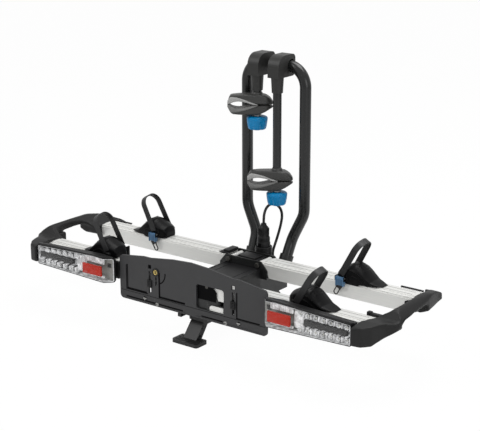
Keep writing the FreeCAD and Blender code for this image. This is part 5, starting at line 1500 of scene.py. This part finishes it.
@dataclass
class Arm:
    """Arm on the crossbar: cap, tube, claw, washer and knob; the claw's outlines are in its turned frame."""

    side: Side
    level: float
    x: float = 35.5
    y: float = 12.0
    turn: float = 35.0
    dome: float = 34.0
    pin_x: float = 34.0
    heel_slope: float = 0.42
    stations: tuple[float, ...] = (
        -85, -84, -82.5, -80.5, -78, -74.5, -69, -61, -52, -43, -34, -26, -18, -11, -4, 4, 14, 23, 31, 37, 41,
        44, 46.2)
    band: tuple[float, ...] = (
        -85.8, -84.6, -82.6, -80, -77, -73, -67, -60, -52, -44, -36, -28, -20, -13, -7, -2, 2)
    upper: tuple[Pair, ...] = (
        (-85, 8), (-82.5, 17), (-79, 25.5), (-74, 28.6), (-50, 30.4), (8, 31), (26, 28), (37, 20), (44, 11),
        (46.2, 6))
    lower: tuple[Pair, ...] = (
        (-85, 8), (-82.5, 14), (-77, 25), (-71, 29), (-50, 30.2), (2, 30.8), (20, 23.5), (44, 9), (46.2, 5))
    mouth: tuple[Pair, ...] = (
        (-80, 0.4), (-75, 4.4), (-64, 8.8), (-52, 10.0), (-38, 8.4), (-22, 4.6), (-8, 0.4))
    pads: tuple[tuple[Pair, ...], tuple[Pair, ...]] = (
        ((-85, 9), (-81, 20), (-76, 25), (-61, 24), (-38, 18), (-14, 8), (2, 1.6)),
        ((-85, 9), (-81, 18), (-74, 25), (-60, 23.5), (-40, 18.5), (-18, 11), (4, 1.6)))
    plan: tuple[Pair, ...] = ((-85, 12), (-76, 16.5), (-57, 20.5), (-20, 24), (28, 23), (42, 14), (46.2, 8))
    flats: int = 6

    @property
    def spot(self) -> Matrix:
        """The claw's frame: origin on the arm at the parting, x towards the heel."""
        place = Matrix.Translation((self.side.value * self.x, self.y, self.level))
        return place @ Matrix.Rotation(math.radians(self.turn), 4, "Z")

    def ring(self, x: float, low: float, high: float, half: float, square: float, sign: int) -> list[Vector]:
        """A rounded section of a jaw.

        Args:
            x: where it stands.
            low: height nearest the parting.
            high: height farthest from it.
            half: half width.
            square: how square its corners are.
            sign: 1 above the parting, -1 below.

        Returns:
            Its corners.
        """
        middle, tall = (low + high) / 2, (high - low) / 2
        result = []
        for step in range(28):
            angle = math.tau * (step + 0.5) / 28
            a, b = math.cos(angle), math.sin(angle)
            across = math.copysign(abs(a) ** (2 / square), a) * half
            up = math.copysign(abs(b) ** (2 / square), b) * tall
            result.append(Vector((x, across, sign * (middle + up))))
        return result

    def jaw(self, sign: int) -> None:
        """One jaw with its soft lip round the mouth: the upper one for 1, the lower one for -1."""
        upper = sign > 0
        # the lower jaw's lip takes the darker copy of the rubber: painted shade
        edge, pad, lip = (self.upper, self.pads[0], LIP) if upper else (self.lower, self.pads[1], LIP_SHADED)
        body = []
        for x in self.stations:
            low = along(self.mouth, x) if -80 < x < -8 else 0.4
            if not upper:
                low += self.heel_slope * max(x - self.pin_x, 0)
            high = max(along(edge, x) - 0.4, low + (3 if x < self.pin_x else 1))
            body.append(self.ring(x, low, high, along(self.plan, x) - 1.6, 5.0, sign))
        shape = Shape().loft(body, matrix=self.spot)
        if upper:
            shape.turned([(0, 28), (16.2, 28), (15.8, 32.5), (14, 35.5), (12.7, 36.5), (0, 36.5)], (0, 0, 0),
                         steps=32, matrix=self.spot)
        band = []
        for x in self.band:
            low = along(self.mouth, x) - 0.7 if -79 < x < -9 else 0.35
            high = max(along(pad, x), low + 1.2)
            band.append(self.ring(x, low, high, along(self.plan, x) + 0.1, 4.0, sign))
        shape.painted(1).loft(band, matrix=self.spot)
        word = self.side.word
        node = ("upper_jaw_" if upper else "lower_jaw_") + word
        body_name = ("claw_" if upper else "jaw_") + word
        finish_shape(shape, node + "_dressed", [CLAW, lip], body_name, [node], 50)

    def knob(self) -> None:
        """The blue clamp knob with its soft flats, and the bolt."""
        levels = [(-73.4, 21, 0.6), (-72.6, 24.2, 0.9), (-70, 26.6, 1.0), (-63, 28.4, 1.0), (-54, 29.9, 1.0),
                  (-47, 30.9, 0.7), (-43, 31.0, 0.2), (-39.5, 30.2, 0.0), (-37, 28, 0.0), (-35.4, 24, 0.0),
                  (-34.6, 18, 0.0)]
        sections = []
        for z, radius, depth in levels:
            ring = []
            for step in range(72):
                angle = math.tau * step / 72
                reach = radius - depth * 2.6 * max(0.0, math.cos(self.flats * angle)) ** 0.8
                ring.append(Vector((reach * math.cos(angle), reach * math.sin(angle), z)))
            sections.append(ring)
        shape = Shape().loft(sections, matrix=self.spot)
        shape.turned([(0, -74.6), (12, -74.6), (13.4, -74), (13.6, -72.8), (0, -72.8)], (0, 0, 0), steps=40,
                     matrix=self.spot)
        shape.painted(1).drum((0, 0, -35), (0, 0, 44.8), 4, 0.6, 20, self.spot)
        word = self.side.word
        node = "clamp_knob_" + word
        finish_shape(shape, node + "_dressed", [BLUE, ZINC], "knob_" + word, [node], 34)

    def domed(self, bm: bmesh.types.BMesh) -> None:
        """Bring the cap's near upper edge to a wide arc."""
        steps = [self.dome * (1 - math.cos(math.radians(9 * count))) - 10 for count in range(11)]
        sliced(bm, 1, steps)
        for vert in bm.verts:
            y, z = vert.co.y / MM, vert.co.z / MM
            if y < self.dome - 10:
                top = 742 - self.dome + math.sqrt(max(0.0, self.dome ** 2 - (self.dome - 10 - y) ** 2))
                vert.co.z = min(z, top) * MM

    def build(self) -> None:
        """Cap, tube, both jaws, washer and knob."""
        word = self.side.word
        edged("arm_cap_" + word, 1.2, [CAP], "arm_" + word, 3, carve=self.domed)
        repaint("arm_tube_" + word, TUBE)
        repaint("thrust_washer_" + word, ZINC)
        x = self.side.value * self.x - 20.2
        screws = Shape()
        for y, z in ((14, 700), (64, 690)):
            screws.turned([(0, 0), (3.4, 0), (4.6, 0.8), (4.8, 2), (0, 2)], (x, y, z), (1, 0, 0), 20)
        finish_shape(screws, "arm_cap_screws_" + word, [ZINC], "arm_" + word)
        self.jaw(1)
        self.jaw(-1)
        self.knob()


@dataclass
class Base:
    """Chassis, brackets, cover, bow, pedal and coupling."""

    nut_x: float = 52.0
    nuts: tuple[Pair, ...] = ((-267.8, 1), (-105.8, -1), (-34.2, 1))
    tread_ribs: int = 6
    bracket_shade: float = -336.0
    tread_top: float = -4.0
    plain: tuple[tuple[str, Finish], ...] = (
        ("bow_tube", TUBE), ("bow_bracket", CHASSIS), ("chassis_frame", CHASSIS), ("chassis_bolts", ZINC),
        ("hinge_pins", DARK_ZINC), ("pedal_spring", ZINC), ("latch_rod", ZINC), ("coupling_housing", CHASSIS),
        ("coupling_jaw", CHASSIS), ("coupling_pins", ZINC))

    def cover_details(self) -> None:
        """Ridges and a release plate on the base cover."""
        shape = Shape()
        for x in (-40, 40):
            shape.block((x - 1, -262, 141.4), (x + 1, -112, 142.8), 0.5)
        shape.block((-22, -252, 141.2), (22, -226, 143.2), 1.0)
        finish_shape(shape, "base_cover_ridges", [BLACK], "platform")

    def hinge_nuts(self) -> None:
        """Hexagon nuts on the ends of the wings' hinge pins, each facing forwards or back."""
        shape = Shape()
        for x in (-self.nut_x, self.nut_x):
            for y, out in self.nuts:
                shape.turned([(0, 0), (7.2, 0), (8, 1), (8, 4.4), (7.2, 5.2), (0, 5.2)], (x, y, 153),
                             (0, out, 0), 6)
        finish_shape(shape, "hinge_nuts", [DARK_ZINC], "platform")

    def hinge_covers(self) -> None:
        """Black covers between the hinge pins, and the bright latch plate seen through the window."""
        shape = Shape()
        for low, high in ((-336, -271), (-102, -37)):
            shape.block((-38, low, 128), (38, high, 160), 2.4, 3)
            shape.block((-30, low + 12, 159), (30, high - 12, 166), 2.0, 3)
        shape.painted(1).plate([(64, 89), (110, 89), (110, 104), (70, 104), (64, 99)], -341.5, -338.5, 0.6)
        finish_shape(shape, "hinge_covers", [BLACK, RAIL], "platform")

    def pedal_details(self) -> None:
        """Ribs of the pedal's tread."""
        shape = Shape()
        for count in range(self.tread_ribs):
            y = -371 + 6.2 * count
            shape.block((-38, y, -8.4), (38, y + 2.4, -7.0), 0.6)
        finish_shape(shape, "pedal_ribs", [CHASSIS], "foot_pedal")

    def build(self) -> None:
        """All of the base."""
        edged("base_cover", 1.6, [BLACK], "platform", 3)
        self.cover_details()
        for place in ("front", "rear"):
            # painted shade on the brackets' front faces, seen through the window
            edged("hinge_bracket_" + place, 0.9, [CHASSIS, BLACK_AND_SHADE], "platform", 2,
                  lambda face: int(face.calc_center_median().y < self.bracket_shade * MM))
        self.hinge_covers()
        edged("foot_pedal", 2.0, [PEDAL, TREAD], "foot_pedal", 3,
              lambda face: int(face.calc_center_median().z < self.tread_top * MM))
        self.pedal_details()
        edged("latch_hook", 0.8, [CHASSIS], "latch_hook", 2)
        edged("clamp_lever", 1.2, [CAP], "clamp_lever", 2)
        self.hinge_nuts()
        for node, finish in self.plain:
            repaint(node, finish)


@dataclass
class Studio:
    """Floor, light and camera."""

    centre: Point = (2.2038, -3.0122, 1.3748)
    azimuth: float = 37.29
    elevation: float = 16.52
    roll: float = -0.17
    lens: float = 99.73
    floor_z: float = -0.0182
    floor_glow: float = 0.97
    ambient: float = 0.54
    seen: float = 0.46
    shine: float = 0.2

    def camera(self) -> None:
        """A camera at the photograph's angle."""
        data = bpy.data.cameras.new("view")
        data.lens = self.lens
        data.sensor_width = 36.0
        data.clip_end = 60.0
        az, el = math.radians(self.azimuth), math.radians(self.elevation)
        back = Vector((math.sin(az) * math.cos(el), -math.cos(az) * math.cos(el), math.sin(el)))
        right = Vector((math.cos(az), math.sin(az), 0))
        up = back.cross(right)
        roll = Matrix.Rotation(math.radians(self.roll), 4, "Z")
        turn = Matrix((right, up, back)).transposed().to_4x4() @ roll
        made = bpy.data.objects.new("view", data)
        made.matrix_world = Matrix.Translation(Vector(self.centre)) @ turn
        bpy.context.scene.collection.objects.link(made)
        bpy.context.scene.camera = made

    def floor(self) -> None:
        """A plain pale floor that keeps the object's shadow."""
        bm = bmesh.new()
        bmesh.ops.create_grid(bm, x_segments=1, y_segments=1, size=30.0)
        bmesh.ops.translate(bm, vec=(0, 0, self.floor_z), verts=bm.verts)
        mesh = bpy.data.meshes.new("floor")
        bm.to_mesh(mesh)
        bm.free()
        made = bpy.data.objects.new("floor", mesh)
        bpy.context.scene.collection.objects.link(made)
        nodes = Nodes("floor_white")
        path = nodes.node("ShaderNodeLightPath", output="Is Camera Ray")
        haze = nodes.noise(900, 2)
        tone = nodes.mix(haze, (0.86, 0.86, 0.86, 1.0), (0.9, 0.9, 0.9, 1.0))
        nodes.feed(Base_Color=tone, Roughness=0.9)
        glow = nodes.node("ShaderNodeEmission", inputs={"Color": (1, 1, 1, 1), "Strength": 1.0})
        lit = Value(nodes.tree, nodes.shader.outputs[0])
        surface = nodes.node("ShaderNodeMixShader", inputs={0: path * self.floor_glow, 1: lit, 2: glow})
        plugged(nodes.tree.nodes["Material Output"].inputs["Surface"], surface)
        mesh.materials.append(nodes.material)

    def world(self) -> None:
        """Even studio light from all round, white where the camera or a gloss sees it."""
        world = bpy.data.worlds.new("studio")
        world.use_nodes = True
        bpy.context.scene.world = world
        tree = world.node_tree
        back = tree.nodes["Background"]
        back.inputs["Color"].default_value = (1, 1, 1, 1)
        rays = tree.nodes.new("ShaderNodeLightPath")
        camera, gloss, through = (Value(tree, rays.outputs[name]) for name in (
            "Is Camera Ray", "Is Glossy Ray", "Is Transmission Ray"))
        strength = self.ambient + (camera + through).clamp() * self.seen + gloss * self.shine
        plugged(back.inputs["Strength"], strength.clamp())

    def lamp(self, name: str, spot: Point, aim: Point, size: float, power: float) -> None:
        """One soft box."""
        data = bpy.data.lights.new(name, "AREA")
        data.shape = "SQUARE"
        data.size = size
        data.energy = power
        made = bpy.data.objects.new(name, data)
        made.location = spot
        made.rotation_euler = (Vector(aim) - Vector(spot)).to_track_quat("-Z", "Y").to_euler()
        bpy.context.scene.collection.objects.link(made)

    def build(self) -> None:
        """The whole studio."""
        self.camera()
        self.floor()
        self.world()
        self.lamp("key", (-1.6, -2.6, 3.0), (0, -0.2, 0.25), 2.0, 50)
        self.lamp("top", (0.5, 0.6, 3.2), (0, -0.2, 0.2), 2.0, 66)
        self.lamp("fill", (3.2, -1.6, 1.2), (0, -0.2, 0.3), 1.6, 18)
        bpy.context.scene.view_settings.view_transform = "Standard"


def main() -> None:
    """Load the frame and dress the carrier."""
    logging.basicConfig(level=logging.INFO, format="%(message)s")
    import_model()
    Studio().build()
    Cable().build()
    PlateHolder().build()
    Base().build()
    for side in Side:
        Lamp(side).build()
        Wing(side).build()
    WheelTray("rear", Side.LEFT, REAR_RAIL, start=301, peak=354, end=455, strap=338, buckle_side=-1).build()
    WheelTray("rear", Side.RIGHT, REAR_RAIL, start=316, peak=366, end=470, strap=338, buckle_side=-1).build()
    WheelTray("front", Side.LEFT, FRONT_RAIL, start=290, peak=338, end=440, strap=319, buckle_side=1).build()
    WheelTray("front", Side.RIGHT, FRONT_RAIL, start=318, peak=366, end=478, strap=348, buckle_side=1,
              lean=31, drop=12, toe=18).build()
    Arm(Side.LEFT, level=594).build()
    Arm(Side.RIGHT, level=379).build()


if __name__ == "__main__":
    main()
